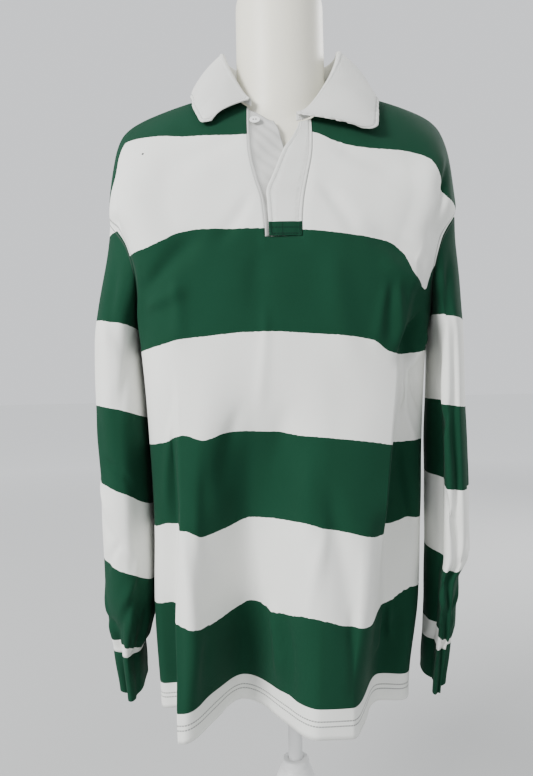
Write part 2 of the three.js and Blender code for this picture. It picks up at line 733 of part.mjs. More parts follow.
function sleeve(side) {
  const ring = armholeRing(side);
  const head = SLEEVES[side][0].z;
  const rows = [];
  for (let r = 0; r <= SLEEVE_ROWS; r += 1) {
    const blend = clamp01(r / SLEEVE_HEAD_ROWS);
    const below = clamp01((r - SLEEVE_HEAD_ROWS) / (SLEEVE_ROWS - SLEEVE_HEAD_ROWS));
    const level = mix(head, CUFF_TOP + SEAM / 2, below);
    rows.push(
      ring.map(({ point }, c) => {
        const z = mix(point.z, level, blend);
        const hanging = sleevePoint(side, ringAngle(c, ring.length), sleeveSection(side, z), z);
        const placed = point.clone().lerp(hanging, ease(blend));
        placed.z = z;
        return placed;
      }),
    );
  }
  const outward = new THREE.Vector3(side === 'left' ? -1 : 1, 0, 0);
  const normals = gridNormals(rows, true);
  if (normals[SLEEVE_HEAD_ROWS][0].dot(outward) < 0) {
    normals.forEach((row) => row.forEach((normal) => normal.negate()));
  }
  ring.forEach(({ normal }, c) => normals[0][c].copy(normal));
  flatten(normals[SLEEVE_ROWS]);
  return clothWall(rows, normals, { wraps: true });
}

function flatten(row) {
  row.forEach((normal) => normal.setZ(0).normalize());
}

function cuff(side) {
  const { frontDrop, backDrop, narrow, lean } = CUFFS[side];
  const section = sleeveSection(side, CUFF_TOP);
  const count = 2 * ROWS_ABOVE;
  const rows = [];
  for (let r = 0; r <= CUFF_ROWS; r += 1) {
    const t = r / CUFF_ROWS;
    rows.push(
      Array.from({ length: count }, (_, c) => {
        const angle = ringAngle(c, count);
        const drop = mix(backDrop, frontDrop, 0.5 + 0.5 * Math.sin(angle));
        const point = sleevePoint(side, angle, section, CUFF_TOP, mix(1, narrow, ease(t)));
        point.z = CUFF_TOP - SEAM / 2 - drop * t;
        point.x += lean * t;
        return point;
      }),
    );
  }
  const normals = gridNormals(rows, true);
  if (normals[1][0].x * (side === 'left' ? -1 : 1) < 0) {
    normals.forEach((row) => row.forEach((normal) => normal.negate()));
  }
  flatten(normals[0]);
  return clothWall(rows, normals, { wraps: true });
}

// Height of the cloth under a point of the plan, near the shoulders.
function clothHeight(x, y) {
  const face = y < SEAM_Y ? FACES.front : FACES.back;
  let low = SLIT_BOTTOM;
  let high = crownHeight(face, x);
  for (let step = 0; step < 30; step += 1) {
    const z = (low + high) / 2;
    const deeper = Math.abs(smoothCloth(face, x, z) - SEAM_Y) > Math.abs(y - SEAM_Y);
    [low, high] = deeper ? [z, high] : [low, z];
  }
  return low;
}

// The cloth under a point of the plan, and which way it faces there.
function clothUnder(x, y) {
  const face = y < SEAM_Y ? FACES.front : FACES.back;
  const z = clothHeight(x, y);
  const step = 0.5;
  const across = (smoothCloth(face, x + step, z) - smoothCloth(face, x - step, z)) / (2 * step);
  const along = (smoothCloth(face, x, z + step) - smoothCloth(face, x, z - step)) / (2 * step);
  const normal = new THREE.Vector3(-across, 1, -along).multiplyScalar(face.sign).normalize();
  return { point: new THREE.Vector3(x, y, z), normal };
}

// The neckline, by place round the neck.
function necklinePoint(place) {
  const reach = Math.abs(place);
  if (reach <= COLLAR_SIDE) {
    const x = NECK_HALF * Math.sin(((Math.PI / 2) * place) / COLLAR_SIDE);
    const z = NECK_TOP + NAPE_RISE * (1 - (x / NECK_HALF) ** 2);
    return new THREE.Vector3(x, smoothCloth(FACES.back, x, z), z);
  }
  const end = Math.acos(COLLAR_END[sideOf(place)] / NECK_HALF);
  const x = Math.sign(place) * NECK_HALF * Math.cos((end * (reach - COLLAR_SIDE)) / (1 - COLLAR_SIDE));
  const z = necklineHeight(x);
  return new THREE.Vector3(x, smoothCloth(FACES.front, x, z), z);
}

// One section of the collar, from the neckline up the stand, over the fold and down the leaf.
function collarColumn(place) {
  const base = necklinePoint(place);
  const outward = new THREE.Vector3(base.x, base.y - SEAM_Y, 0).normalize();
  const lean = collarTable.at(place, 'lean');
  const rise = collarTable.at(place, 'rise');
  const points = [];
  const start = base.clone().addScaledVector(outward, -TRIM_WALL);
  start.z += COLLAR_BASE;
  for (let s = 0; s < COLLAR_GRID.stand; s += 1) {
    const t = s / COLLAR_GRID.stand;
    const point = start.clone().addScaledVector(outward, (lean - COLLAR_BEND) * ease(t));
    point.z += (rise - COLLAR_BEND) * t;
    points.push(point);
  }
  const centre = start.clone().addScaledVector(outward, lean);
  centre.z += rise - COLLAR_BEND;
  for (let b = 0; b <= COLLAR_GRID.bend; b += 1) {
    const turn = (Math.PI * b) / COLLAR_GRID.bend;
    const point = centre.clone().addScaledVector(outward, -COLLAR_BEND * Math.cos(turn));
    point.z += COLLAR_BEND * Math.sin(turn);
    points.push(point);
  }
  const fold = points[points.length - 1].clone();
  const edge = clothUnder(collarTable.at(place, 'edgeX'), collarTable.at(place, 'edgeY'));
  edge.point.addScaledVector(edge.normal, COLLAR_CLEAR + collarTable.at(place, 'lift'));
  for (let l = 1; l <= COLLAR_GRID.leaf; l += 1) {
    const point = fold.clone().lerp(edge.point, l / COLLAR_GRID.leaf);
    const under = clothUnder(point.x, point.y);
    const stands = point.clone().sub(under.point).dot(under.normal);
    points.push(point.addScaledVector(under.normal, Math.max(0, COLLAR_CLEAR - stands)));
  }
  return points;
}

function collar() {
  const { along } = COLLAR_GRID;
  const columns = Array.from({ length: along + 1 }, (_, c) => collarColumn(-1 + (2 * c) / along));
  const points = columns[0].map((_, r) => columns.map((column) => column[r]));
  const normals = gridNormals(points, false);
  const leaf = normals[points.length - 2][Math.floor(along / 2)];
  if (leaf.y < 0) {
    normals.forEach((row) => row.forEach((normal) => normal.negate()));
  }
  return clothWall(points, normals, { thick: TRIM_WALL });
}

// A placket strip made from the front panel's own points in the slit, moved along their normals.
function strip(isOver) {
  const points = [];
  const normals = [];
  for (let r = 0; r <= STRIP_ROWS; r += 1) {
    const down = mix(STRIP_ENDS.top, STRIP_ENDS.bottom, r / STRIP_ROWS);
    const row = STRIP_COLUMNS.map((t) => stripPoint(isOver, t, down));
    points.push(row.map(({ point }) => point));
    normals.push(row.map(({ normal }) => normal));
  }
  return clothWall(points, normals, { thick: TRIM_WALL });
}

// A point on the outside of a strip. The lower strip sinks behind the upper one beside its seam.
function stripPoint(isOver, t, down) {
  const { point, normal } = slitPoint(isOver, t, down);
  const lift = isOver ? OVER_LIFT : -UNDER_SINK * ease(t / UNDER_RUN);
  return { point: point.addScaledVector(normal, lift), normal };
}

// The point of the front panel's own surface that a strip lies over, and which way it faces there.
function slitPoint(isOver, t, down) {
  const middle = panelPoint(FACES.front, 0, down);
  const left = slit.at(middle.z, 'left') + SEAM;
  const right = slit.at(middle.z, 'right') - SEAM;
  const free = strips.at(middle.z, isOver ? 'over' : 'under');
  const x = isOver ? mix(free, right, t) : mix(left, free, t);
  const share = mix(-SLIT_SHARE, SLIT_SHARE, (x - left + SEAM) / (right - left + 2 * SEAM));
  const point = panelPoint(FACES.front, share, down);
  const beside = panelPoint(FACES.front, share + SHARE_STEP, down);
  const across = beside.sub(panelPoint(FACES.front, share - SHARE_STEP, down));
  const below = panelPoint(FACES.front, share, Math.min(1, down + SHARE_STEP));
  const along = below.sub(panelPoint(FACES.front, share, Math.max(0, down - SHARE_STEP)));
  const normal = across.cross(along).normalize();
  return { point, normal: normal.y > 0 ? normal.negate() : normal };
}

// A turned body on the middle axis, from its profile of radius and height.
function turned(profile, sides = ROUND_SIDES) {
  const geometry = new THREE.LatheGeometry(
    profile.map(([radius, height]) => new THREE.Vector2(radius, height)),
    sides,
  );
  geometry.rotateX(Math.PI / 2);
  return geometry;
}

function button() {
  const { radius, thick, rim, hole, spacing } = BUTTON;
  const shape = new THREE.Shape().absarc(0, 0, radius - rim / 2, 0, 2 * Math.PI, false);
  for (const side of [-1, 1]) {
    shape.holes.push(new THREE.Path().absarc((side * spacing) / 2, 0, hole, 0, 2 * Math.PI, true));
  }
  const geometry = new THREE.ExtrudeGeometry(shape, {
    depth: thick - rim,
    bevelThickness: rim / 2,
    bevelSize: rim / 2,
    bevelSegments: 1,
    curveSegments: 7,
  });
  geometry.translate(0, 0, rim / 2);
  return geometry;
}

// The torso's reach from its ridge to the front or back, over a point of the plane between: never
// nearer than the seat gap to the cloth.
function torsoDepth(face, x, z, half) {
  const square = formTable.at(z, 'square');
  const round = (1 - Math.min(1, Math.abs(x) / half) ** square) ** (1 / square);
  const body = formTable.at(z, face.name) * round;
  const middle = ease((NECK_HALF + ROOM_REACH[face.name] - Math.abs(x)) / ROOM_REACH[face.name]);
  const room = (face.name === 'back' ? NAPE_ROOM : SLIT_ROOM) * middle;
  const cloth = Math.abs(smoothCloth(face, x, z + FORM_DROP) - SEAM_Y) - WALL - SEAT - room;
  return Math.max(0, Math.min(body, cloth));
}

function torsoHalf(side, z) {
  const shoulder = shoulderLevel.at(z + FORM_DROP, side) - SEAT;
  return Math.min(formTable.at(z, 'half'), z > FORM_TIP ? shoulder : Infinity);
}

// The torso, from level rings that follow the shoulders at the top.
function torso() {
  const positions = [];
  const faces = [];
  FORM_LEVELS.forEach((z, level) => {
    const inset = level === 0 ? FORM_EDGE : 0;
    for (let c = 0; c < FORM_AROUND; c += 1) {
      const angle = ringAngle(c, FORM_AROUND);
      const half = torsoHalf(sideOf(Math.sin(angle)), z) - inset;
      const x = half * Math.sin(angle);
      const face = Math.cos(angle) >= 0 ? FACES.front : FACES.back;
      const onRidge = Math.abs(Math.cos(angle)) < 1e-6;
      const depth = onRidge ? 0 : Math.max(0, torsoDepth(face, x, z, half) - inset);
      positions.push(x, SEAM_Y + face.sign * depth, z);
    }
  });
  const rings = FORM_LEVELS.length;
  for (let r = 0; r < rings - 1; r += 1) {
    for (let c = 0; c < FORM_AROUND; c += 1) {
      const next = (c + 1) % FORM_AROUND;
      const [a, b] = [r * FORM_AROUND + c, r * FORM_AROUND + next];
      const [d, e] = [a + FORM_AROUND, b + FORM_AROUND];
      faces.push(a, b, e, a, e, d);
    }
  }
  const bottom = positions.length / 3;
  const last = (rings - 1) * FORM_AROUND;
  positions.push(0, SEAM_Y, FORM_BOTTOM, 0, SEAM_Y, FORM_LEVELS[rings - 1]);
  for (let c = 0; c < FORM_AROUND; c += 1) {
    const next = (c + 1) % FORM_AROUND;
    faces.push(bottom, next, c);
    faces.push(bottom + 1, last + c, last + next);
  }
  return closedGeometry(positions, faces);
}

// A table of radii and heights as the corners of a profile.
function corners(table) {
  return table.map(({ radius, height }) => [radius, height]);
}

function neck() {
  const profile = [[0, NECK_ENDS.bottom], ...corners(NECK), [0, NECK_ENDS.top]];
  return turned(profile, FORM_AROUND).translate(0, SEAM_Y, 0);
}

// A geometry as a solid that can be joined, with its doubled points merged.
function toSolid(geometry) {
  const bare = geometry.clone();
  bare.deleteAttribute('normal');
  bare.deleteAttribute('uv');
  const merged = mergeVertices(bare, 1e-4);
  const whole = [];
  for (let f = 0; f < merged.index.count; f += 3) {
    const [a, b, c] = [0, 1, 2].map((k) => merged.index.getX(f + k));
    if (a !== b && b !== c && c !== a) {
      whole.push(a, b, c);
    }
  }
  const mesh = new wasm.Mesh({
    numProp: 3,
    vertProperties: new Float32Array(merged.attributes.position.array),
    triVerts: new Uint32Array(whole),
  });
  return new wasm.Manifold(mesh);
}

// The torso and the neck as one body.
function form() {
  const mesh = toSolid(torso()).add(toSolid(neck())).getMesh();
  return closedGeometry(Array.from(mesh.vertProperties), Array.from(mesh.triVerts));
}

function pole() {
  const { radius, bottom } = POLE;
  return turned([[0, bottom], [radius, bottom], [radius, FORM_BOTTOM - SEAM], [0, FORM_BOTTOM - SEAM]]);
}

function hub() {
  const floor = POLE.bottom - SEAM;
  const top = HUB[HUB.length - 1].height;
  const bore = [[HUB_BORE, top], [HUB_BORE, floor], [0, floor]];
  return turned([[0, HUB[0].height], ...corners(HUB), ...bore]);
}

function column() {
  const { radius, top, bottom } = COLUMN;
  return turned([[0, bottom], [radius, bottom], [radius, top], [0, top]]);
}

function base() {
  const top = BASE[BASE.length - 1].height;
  return turned([[0, BASE[0].height], ...corners(BASE), [0, top]], BASE_SIDES);
}

const group = new THREE.Group();

function add(name, geometry, finish) {
  const mesh = new THREE.Mesh(geometry, new THREE.MeshStandardMaterial(finish));
  mesh.name = name;
  group.add(mesh);
  return mesh;
}

add('front_panel', frontPanel(), FINISHES.jersey);
add('back_panel', backPanel(), FINISHES.jersey);
for (const side of ['left', 'right']) {
  add(`sleeve_${side}`, sleeve(side), FINISHES.jersey);
  add(`cuff_${side}`, cuff(side), FINISHES.ribbing);
}
add('collar', collar(), FINISHES.twill);
add('placket_over', strip(true), FINISHES.twill);
add('placket_under', strip(false), FINISHES.twill);

const neckButton = add('neck_button', button(), FINISHES.button);
const buttonSeat = stripPoint(false, BUTTON.across, BUTTON.down);
neckButton.position.copy(buttonSeat.point).addScaledVector(buttonSeat.normal, BUTTON.stand);
neckButton.quaternion.setFromUnitVectors(new THREE.Vector3(0, 0, 1), buttonSeat.normal);

add('form', form(), FINISHES.form);
add('pole', pole(), FINISHES.stand);
add('hub', hub(), FINISHES.stand);
add('column', column(), FINISHES.stand);
add('base', base(), FINISHES.stand);

export default group;
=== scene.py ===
import logging
import math
from dataclasses import dataclass, field
from enum import Enum

import bmesh
import bpy
import numpy as np
from mathutils import Matrix, Vector


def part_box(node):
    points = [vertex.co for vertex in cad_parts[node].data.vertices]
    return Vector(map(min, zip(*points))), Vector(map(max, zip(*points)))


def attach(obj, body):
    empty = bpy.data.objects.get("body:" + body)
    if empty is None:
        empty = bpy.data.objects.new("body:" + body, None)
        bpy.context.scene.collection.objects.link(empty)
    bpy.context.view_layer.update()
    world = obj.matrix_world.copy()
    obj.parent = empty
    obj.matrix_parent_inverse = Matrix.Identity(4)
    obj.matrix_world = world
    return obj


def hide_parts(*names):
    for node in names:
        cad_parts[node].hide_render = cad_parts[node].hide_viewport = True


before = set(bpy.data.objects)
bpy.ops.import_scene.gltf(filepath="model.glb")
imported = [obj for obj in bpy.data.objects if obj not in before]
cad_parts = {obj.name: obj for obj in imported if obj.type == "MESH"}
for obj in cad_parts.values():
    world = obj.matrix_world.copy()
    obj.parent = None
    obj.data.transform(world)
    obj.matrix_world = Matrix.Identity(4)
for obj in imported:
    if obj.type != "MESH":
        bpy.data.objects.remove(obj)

logging.basicConfig(level=logging.INFO, format="%(message)s")
LOG = logging.getLogger("shirt")
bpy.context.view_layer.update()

# Lengths are in millimetres and become metres when a mesh is made. +Z is up, and the front faces -Y.
MM = 0.001
WALL = 2.0
TRIM_WALL = 1.6
SEAT = 0.6
CREASE_GAIN = 1.7
CREASE_SWAY = 0.045
WAVE_GAIN = 1.5
ROUND_RUN = 0.9
HELD_EDGE = 0.05
FAR = 99.0


class Face(Enum):
    """The two faces of the shirt's body."""

    FRONT = "front"
    BACK = "back"

    @property
    def sign(self) -> float:
        """Which way the face looks along Y."""
        return -1.0 if self is Face.FRONT else 1.0


class Side(Enum):
    """The viewer's left and right."""

    LEFT = "left"
    RIGHT = "right"

    @property
    def sign(self) -> float:
        """Which way the side lies along X."""
        return -1.0 if self is Side.LEFT else 1.0


@dataclass(frozen=True)
class Table:
    """A short table with named columns that is read on a smooth curve."""

    columns: tuple[str, ...]
    rows: tuple[tuple[float, ...], ...]

    def at(self, value: np.ndarray, name: str, key: str | None = None) -> np.ndarray:
        """Reads a column on a curve that never swings past the rows on either side.

        Args:
            value: where to read, in the key column's unit.
            name: the column to read.
            key: the column that value belongs to; the first one if left out.

        Returns:
            The column's values there.
        """
        key_column = self.columns.index(key or self.columns[0])
        rows = np.array(sorted(self.rows, key=lambda row: row[key_column]), float)
        keys, values = rows[:, key_column], rows[:, self.columns.index(name)]
        span = np.diff(keys)
        rise = np.diff(values) / span
        slope = np.zeros_like(keys)
        product, total = rise[:-1] * rise[1:], rise[:-1] + rise[1:]
        steady = product > 0
        slope[1:-1][steady] = 2 * product[steady] / total[steady]
        spot = np.clip(np.asarray(value, float), keys[0], keys[-1])
        low = np.clip(np.searchsorted(keys, spot, side="right") - 1, 0, len(keys) - 2)
        t = (spot - keys[low]) / span[low]
        lift = values[low + 1] - values[low]
        start, stop = slope[low] * span[low], slope[low + 1] * span[low]
        curve = (3 * lift - 2 * start - stop) * t**2 + (start + stop - 2 * lift) * t**3
        return values[low] + start * t + curve


SHOULDER = Table(
    ("along", "left", "right", "z"),
    (
        (0, 66, 66, 1121), (0.3, 114, 114, 1107), (0.55, 160, 160, 1092), (0.714, 191, 190, 1079),
        (0.8, 209, 206, 1066), (0.87, 219, 215, 1047), (0.93, 225, 220, 1010), (1, 230, 224, 950),
    ),
)
SECTIONS = Table(
    ("z", "left", "right", "front", "back", "corner_left", "corner_right"),
    (
        (1125, 230, 224, 60, 88, 3, 3), (1060, 230, 224, 80, 96, 3, 3), (1000, 230, 224, 98, 103, 3, 3),
        (950, 230, 224, 111, 106, 3, 3), (900, 210, 205, 119, 106, 3, 3), (850, 197, 193, 122, 104, 3.2, 3),
        (815, 192, 188, 122, 103, 3.4, 3), (770, 186, 181, 122, 104, 3.6, 3),
        (660, 179, 174, 126, 110, 4, 3), (550, 175, 170, 136, 118, 4.4, 3),
        (450, 177, 165, 146, 127, 4.8, 2.7), (319, 173, 151, 150, 134, 5, 2.4),
    ),
)
FOLD_LINES = Table(
    ("z", "left", "right"),
    (
        (1000, 0.83, 0.84), (950, 0.83, 0.83), (900, 0.8, 0.8), (850, 0.75, 0.765), (660, 0.72, 0.675),
        (550, 0.74, 0.622), (450, 0.76, 0.585), (319, 0.785, 0.575),
    ),
)
SLIT = Table(
    ("z", "left", "right"),
    (
        (1080, -45, 34), (1013, -41, 28), (970, -31.5, 18.5), (940, -25.6, 16.5), (897, -25.6, 17.3),
        (600, -38, 18), (319, -66, -4),
    ),
)
STRIPS = Table(
    ("z", "over", "under"),
    (
        (1066, 18, -26), (1049, 17, -11), (1030, 9, -5), (1010, -2, -1.5), (964, -15, 7), (940, -20, 11),
        (897, -21, 13),
    ),
)
COLLAR = Table(
    ("place", "rise", "lean", "edge_x", "edge_y", "lift"),
    (
        (-1, 10, 3, -98, -73, 5), (-0.8, 29, 8, -112, -42, 2), (-0.6, 45, 13, -117, 0, 2),
        (-0.3, 48, 9, -76, 68, 1), (0, 49, 9, 0, 90, 1), (0.3, 48, 9, 77, 68, 1), (0.6, 45, 13, 120, -2, 2),
        (0.8, 29, 8, 119, -46, 4), (1, 10, 3, 110, -80, 8),
    ),
)
SLEEVES = {
    "left": Table(
        ("z", "outer", "inner", "front", "back"),
        (
            (780, 254, 193, 84, 76), (700, 253, 187, 86, 78), (600, 250, 182, 86, 78),
            (520, 248, 181, 84, 76), (440, 245, 182, 78, 68), (405, 242, 190, 68, 58),
            (387, 239, 199, 60, 50),
        ),
    ),
    "right": Table(
        ("z", "outer", "inner", "front", "back"),
        (
            (780, 235, 188, 86, 78), (700, 236, 185, 88, 80), (600, 238, 182, 88, 80),
            (510, 239, 180, 84, 76), (475, 222, 179, 80, 72), (405, 216, 177, 68, 58),
            (387, 211, 175, 60, 50),
        ),
    ),
}
FORM = Table(
    ("z", "half", "front", "back", "square"),
    (
        (1110, 150, 64, 66, 2.1), (1060, 200, 72, 84, 2.2), (1020, 192, 84, 92, 2.3),
        (960, 166, 98, 94, 2.3), (890, 150, 106, 88, 2.2), (820, 138, 96, 76, 2.2), (730, 120, 84, 68, 2.2),
        (640, 122, 66, 66, 2.2), (540, 130, 60, 62, 2.3), (450, 126, 54, 58, 2.3),
    ),
)


@dataclass(frozen=True)
class Fold:
    """A long fold of the body, which grows from its top down to where it is full."""

    face: Face
    at: float
    foot: float
    top: float
    full: float
    left: float
    right: float
    depth: float
    soften: float = 1.0
    spread: float = 0.0
    fade: float = 0.0
    end: float = 0.0


@dataclass(frozen=True)
class Crease:
    """A short crease between two points of a face, wide and deep as given; below zero it stands out."""

    start: tuple[float, float]
    stop: tuple[float, float]
    width: float
    depth: float


@dataclass(frozen=True)
class SleeveFold:
    """A fold down a sleeve, at degrees round from the outer side by the front."""

    angle: float
    top: float
    full: float
    reach: float
    depth: float


def creases(*rows: tuple[float, ...]) -> tuple[Crease, ...]:
    """Creases, each from the place across and height of its two ends, its width and its depth."""
    return tuple(Crease(row[:2], row[2:4], *row[4:]) for row in rows)


FOLDS = (
    Fold(Face.FRONT, -0.76, -0.845, 770, 319, 90, 9, 94),
    Fold(Face.FRONT, -0.2, -0.38, 790, 319, 66, 88, 102),
    Fold(Face.FRONT, 0.87, 0.675, 935, 470, 12, 80, 90, soften=1.3, fade=560, end=420),
    Fold(Face.FRONT, 0.72, 0.7, 600, 420, 46, 90, 92), Fold(Face.BACK, -0.62, -0.68, 860, 319, 46, 40, 48),
    Fold(Face.BACK, -0.1, -0.16, 780, 319, 60, 48, 50), Fold(Face.BACK, 0.5, 0.46, 900, 319, 48, 52, 48),
    Fold(Face.FRONT, -0.85, -0.86, 1070, 970, 26, 60, -14, spread=0.4, fade=900, end=815),
    Fold(Face.FRONT, 0.85, 0.86, 1070, 980, 44, 26, -14, spread=0.3, fade=900, end=815),
)
CREASES = {
    Face.FRONT: creases(
        (-134, 852, -130, 772, 9, -1.9), (110, 842, 106, 764, 8, -1.6), (133, 846, 127, 766, 7, -2.2),
        (122, 836, 117, 770, 7, 1.5), (102, 440, 104, 388, 5, -3), (121, 450, 124, 398, 5, -2.6),
        (-27, 468, -18, 372, 5.5, -5.5), (-17, 455, -9, 352, 6, 3.2), (-212, 1004, -201, 884, 5, 3.6),
        (200, 1004, 191, 900, 5, 3.2), (190, 990, 172, 872, 15, 4.2), (-172, 846, -96, 902, 11, 3.4),
        (-168, 818, -118, 846, 9, -2.6), (168, 858, 92, 912, 12, 3.8), (170, 836, 112, 868, 9, -3),
        (166, 800, 128, 742, 8, 3.4), (158, 770, 134, 688, 7, -3.2), (-60, 1030, -150, 980, 16, 2.2),
        (60, 1022, 150, 968, 16, 2.6), (-44, 950, -86, 884, 9, 1.8), (164, 812, 140, 770, 6, 4.6),
        (172, 792, 146, 738, 6, -3.6), (150, 748, 166, 690, 6, 3.8), (140, 720, 158, 640, 6, -2.8),
        (-186, 868, -176, 700, 6, -2.2), (-34, 820, -30, 690, 7, -1.3), (-58, 700, -84, 600, 10, 1.7),
        (30, 560, 12, 430, 9, -2.2), (70, 470, 60, 360, 8, 2.4), (-104, 440, -96, 350, 8, 2.2),
        (38, 958, 92, 894, 10, 2), (-92, 640, -104, 470, 13, 2.6), (-118, 560, -128, 360, 9, -3),
        (44, 610, 56, 410, 15, 3.2), (84, 560, 92, 372, 12, -2.8), (12, 640, 22, 500, 13, -2.2),
        (-4, 700, -20, 580, 14, 2), (-140, 700, -146, 560, 7, -2.8), (140, 650, 150, 520, 8, 3),
        (-30, 880, -40, 800, 14, 1.6), (60, 880, 70, 720, 18, -1.8),
    ),
    Face.BACK: creases(
        (-160, 860, -88, 930, 13, 3.6), (-150, 830, -80, 868, 10, -2.6), (158, 868, 84, 922, 13, 3.4),
        (152, 836, 96, 860, 9, -2.8), (-40, 1060, -130, 1020, 15, 2.2), (46, 1058, 138, 1012, 16, 2.4),
        (-20, 900, -34, 700, 16, 2.6), (34, 860, 28, 640, 14, -2.4), (-84, 640, -92, 420, 11, -3.2),
        (-58, 560, -62, 350, 10, 2.8), (46, 560, 52, 360, 12, 3.2), (112, 640, 120, 400, 10, -3),
        (-136, 700, -142, 480, 9, 2.8), (96, 780, 110, 650, 9, 2.4),
    ),
}
SLEEVE_FOLDS = {
    "left": (
        SleeveFold(62, 470, 387, 34, 12), SleeveFold(120, 700, 560, 30, 6),
        SleeveFold(250, 640, 430, 34, 10),
    ),
    "right": (
        SleeveFold(84, 900, 640, 15, 8), SleeveFold(138, 900, 640, 46, 23), SleeveFold(52, 520, 387, 26, 7),
        SleeveFold(262, 660, 420, 34, 10),
    ),
}
# Creases of the sleeves, by degrees round and height
SLEEVE_CREASES = {
    "left": creases(
        (40, 880, 120, 760, 12, 2.8), (150, 790, 80, 690, 11, 2.4), (30, 700, 70, 560, 10, -2),
        (60, 560, 110, 500, 9, 2.2), (100, 470, 60, 410, 8, 2.4), (20, 470, 50, 400, 7, -2.2),
        (140, 450, 130, 395, 7, 2.2), (200, 860, 270, 740, 13, 2.8), (230, 690, 290, 600, 11, 2.4),
        (300, 560, 240, 470, 10, 2.4), (280, 450, 300, 395, 8, 2.4), (330, 640, 320, 500, 10, -2),
        (62, 640, 112, 604, 8, 2.4), (28, 610, 70, 566, 7, -1.8), (84, 540, 40, 492, 8, 2.2),
        (118, 520, 84, 452, 7, -2.2), (24, 440, 58, 424, 7, 2.6),
    ),
    "right": creases(
        (50, 880, 118, 780, 12, 3), (100, 770, 96, 560, 8, -2.4), (36, 640, 28, 480, 9, 2.4),
        (110, 600, 80, 520, 9, 2.6), (60, 520, 100, 470, 8, 2.8), (30, 470, 60, 400, 7, -2.4),
        (90, 450, 100, 392, 7, 2.4), (210, 870, 280, 760, 13, 2.8), (300, 700, 250, 600, 11, 2.4),
        (240, 540, 300, 470, 10, 2.6), (290, 440, 270, 392, 8, 2.4), (336, 620, 326, 520, 10, -2.2),
        (26, 560, 58, 500, 8, 2), (96, 700, 128, 640, 8, 2.4), (60, 450, 24, 420, 7, 2.6),
        (110, 470, 80, 430, 7, -2.2),
    ),
}
HOOP_ENDS = (1150.0, 250.0)
FRONT_HOOPS = Table(
    ("x", "yoke", "white_1", "green_1", "white_2", "green_2", "white_3"),
    (
        (-226, 948, 886, 768, 654, 553, 457), (-214, 984, 886, 768, 654, 553, 457),
        (-206, 1030, 886, 768, 654, 553, 457), (-200, 1040, 886, 768, 654, 553, 457),
        (-187, 1041, 887, 769, 654, 553, 457), (-170, 1040, 889, 772, 656, 554, 459),
        (-150, 1038, 896, 776, 660, 560, 462), (-126, 1034, 906, 781, 669, 560, 455),
        (-102, 1032, 909, 783, 663, 552, 451), (-78, 1031, 909, 785, 670, 558, 455),
        (-50, 1030, 908, 787, 672, 567, 464), (-20, 1031, 907, 787, 670, 567, 457),
        (10, 1033, 905, 785, 666, 567, 463), (34, 1031, 903, 783, 664, 561, 460),
        (60, 1019, 900, 781, 661, 556, 451), (97, 1010, 896, 775, 656, 547, 448),
        (120, 1008, 892, 761, 652, 546, 452), (139, 1007, 878, 759, 651, 550, 464),
        (150, 1006, 852, 762, 652, 553, 468), (166, 1002, 838, 765, 653, 553, 468),
        (178, 996, 862, 766, 653, 553, 468), (186, 984, 872, 767, 653, 553, 468),
        (194, 968, 876, 768, 653, 553, 468), (202, 946, 878, 768, 653, 553, 468),
        (222, 940, 878, 768, 653, 553, 468),
    ),
)
# Edges between the sleeves' hoops: heights on the outer side, in front, on the inner side and behind
SLEEVE_HOOPS = {
    "left": (
        (920, 928, 936, 928), (812, 806, 799, 804), (704, 700, 686, 694), (612, 598, 574, 592),
        (509, 500, 477, 490), (406, 402, 388, 396),
    ),
    "right": (
        (934, 932, 936, 934), (802, 806, 811, 806), (694, 696, 704, 700), (595, 593, 606, 600),
        (503, 490, 509, 505), (394, 402, 413, 404),
    ),
}

def clamp01(value: np.ndarray) -> np.ndarray:
    """Holds a value between nought and one."""
    return np.clip(value, 0.0, 1.0)


def ease(value: np.ndarray) -> np.ndarray:
    """A smooth step from nought to one."""
    t = clamp01(value)
    return t * t * (3 - 2 * t)


def mix(start: np.ndarray, stop: np.ndarray, t: np.ndarray) -> np.ndarray:
    """A value between two others."""
    return start + (stop - start) * t


def by_side(x: np.ndarray, left: np.ndarray, right: np.ndarray) -> np.ndarray:
    """Picks the left or the right value."""
    return np.where(x < 0, left, right)


def grid_normals(points: np.ndarray, wraps: bool, outward: np.ndarray) -> np.ndarray:
    """Normals of a grid of points, turned so that most of them look outward.

    Args:
        points: rows by columns by three.
        wraps: whether the last column joins the first.
        outward: for each point, a direction that is roughly outward.

    Returns:
        Unit normals, in the same shape.
    """
    along = np.gradient(points, axis=0)
    if wraps:
        ring = points[:, :-1]
        across = np.roll(ring, -1, axis=1) - np.roll(ring, 1, axis=1)
        across = np.concatenate([across, across[:, :1]], axis=1)
    else:
        across = np.gradient(points, axis=1)
    normals = np.cross(across, along)
    length = np.linalg.norm(normals, axis=2, keepdims=True)
    normals = normals / np.maximum(length, 1e-9)
    return normals if np.sum(normals * outward) > 0 else -normals


def crease_field(laid: tuple[Crease, ...], across: np.ndarray, z: np.ndarray) -> np.ndarray:
    """How far a set of creases lies back at each place.

    Args:
        laid: the creases.
        across: place across, in the creases' first unit.
        z: height.

    Returns:
        Depth in millimetres, above zero where the cloth lies back.
    """
    total = np.zeros_like(z)
    for crease in laid:
        start, stop = np.array(crease.start, float), np.array(crease.stop, float)
        run = stop - start
        length = np.hypot(*run)
        along = ((across - start[0]) * run[0] + (z - start[1]) * run[1]) / length**2
        sway = CREASE_SWAY * length * np.sin(3.1 * along + start[0] * 0.7)
        aside = ((across - start[0]) * run[1] - (z - start[1]) * run[0]) / length + sway
        width = crease.width * (0.75 + 0.5 * clamp01(along))
        ends = ease((along + 0.12) / 0.4) * ease((1.12 - along) / 0.45)
        total += CREASE_GAIN * crease.depth * ends * np.exp(-((aside / width) ** 2))
    return total


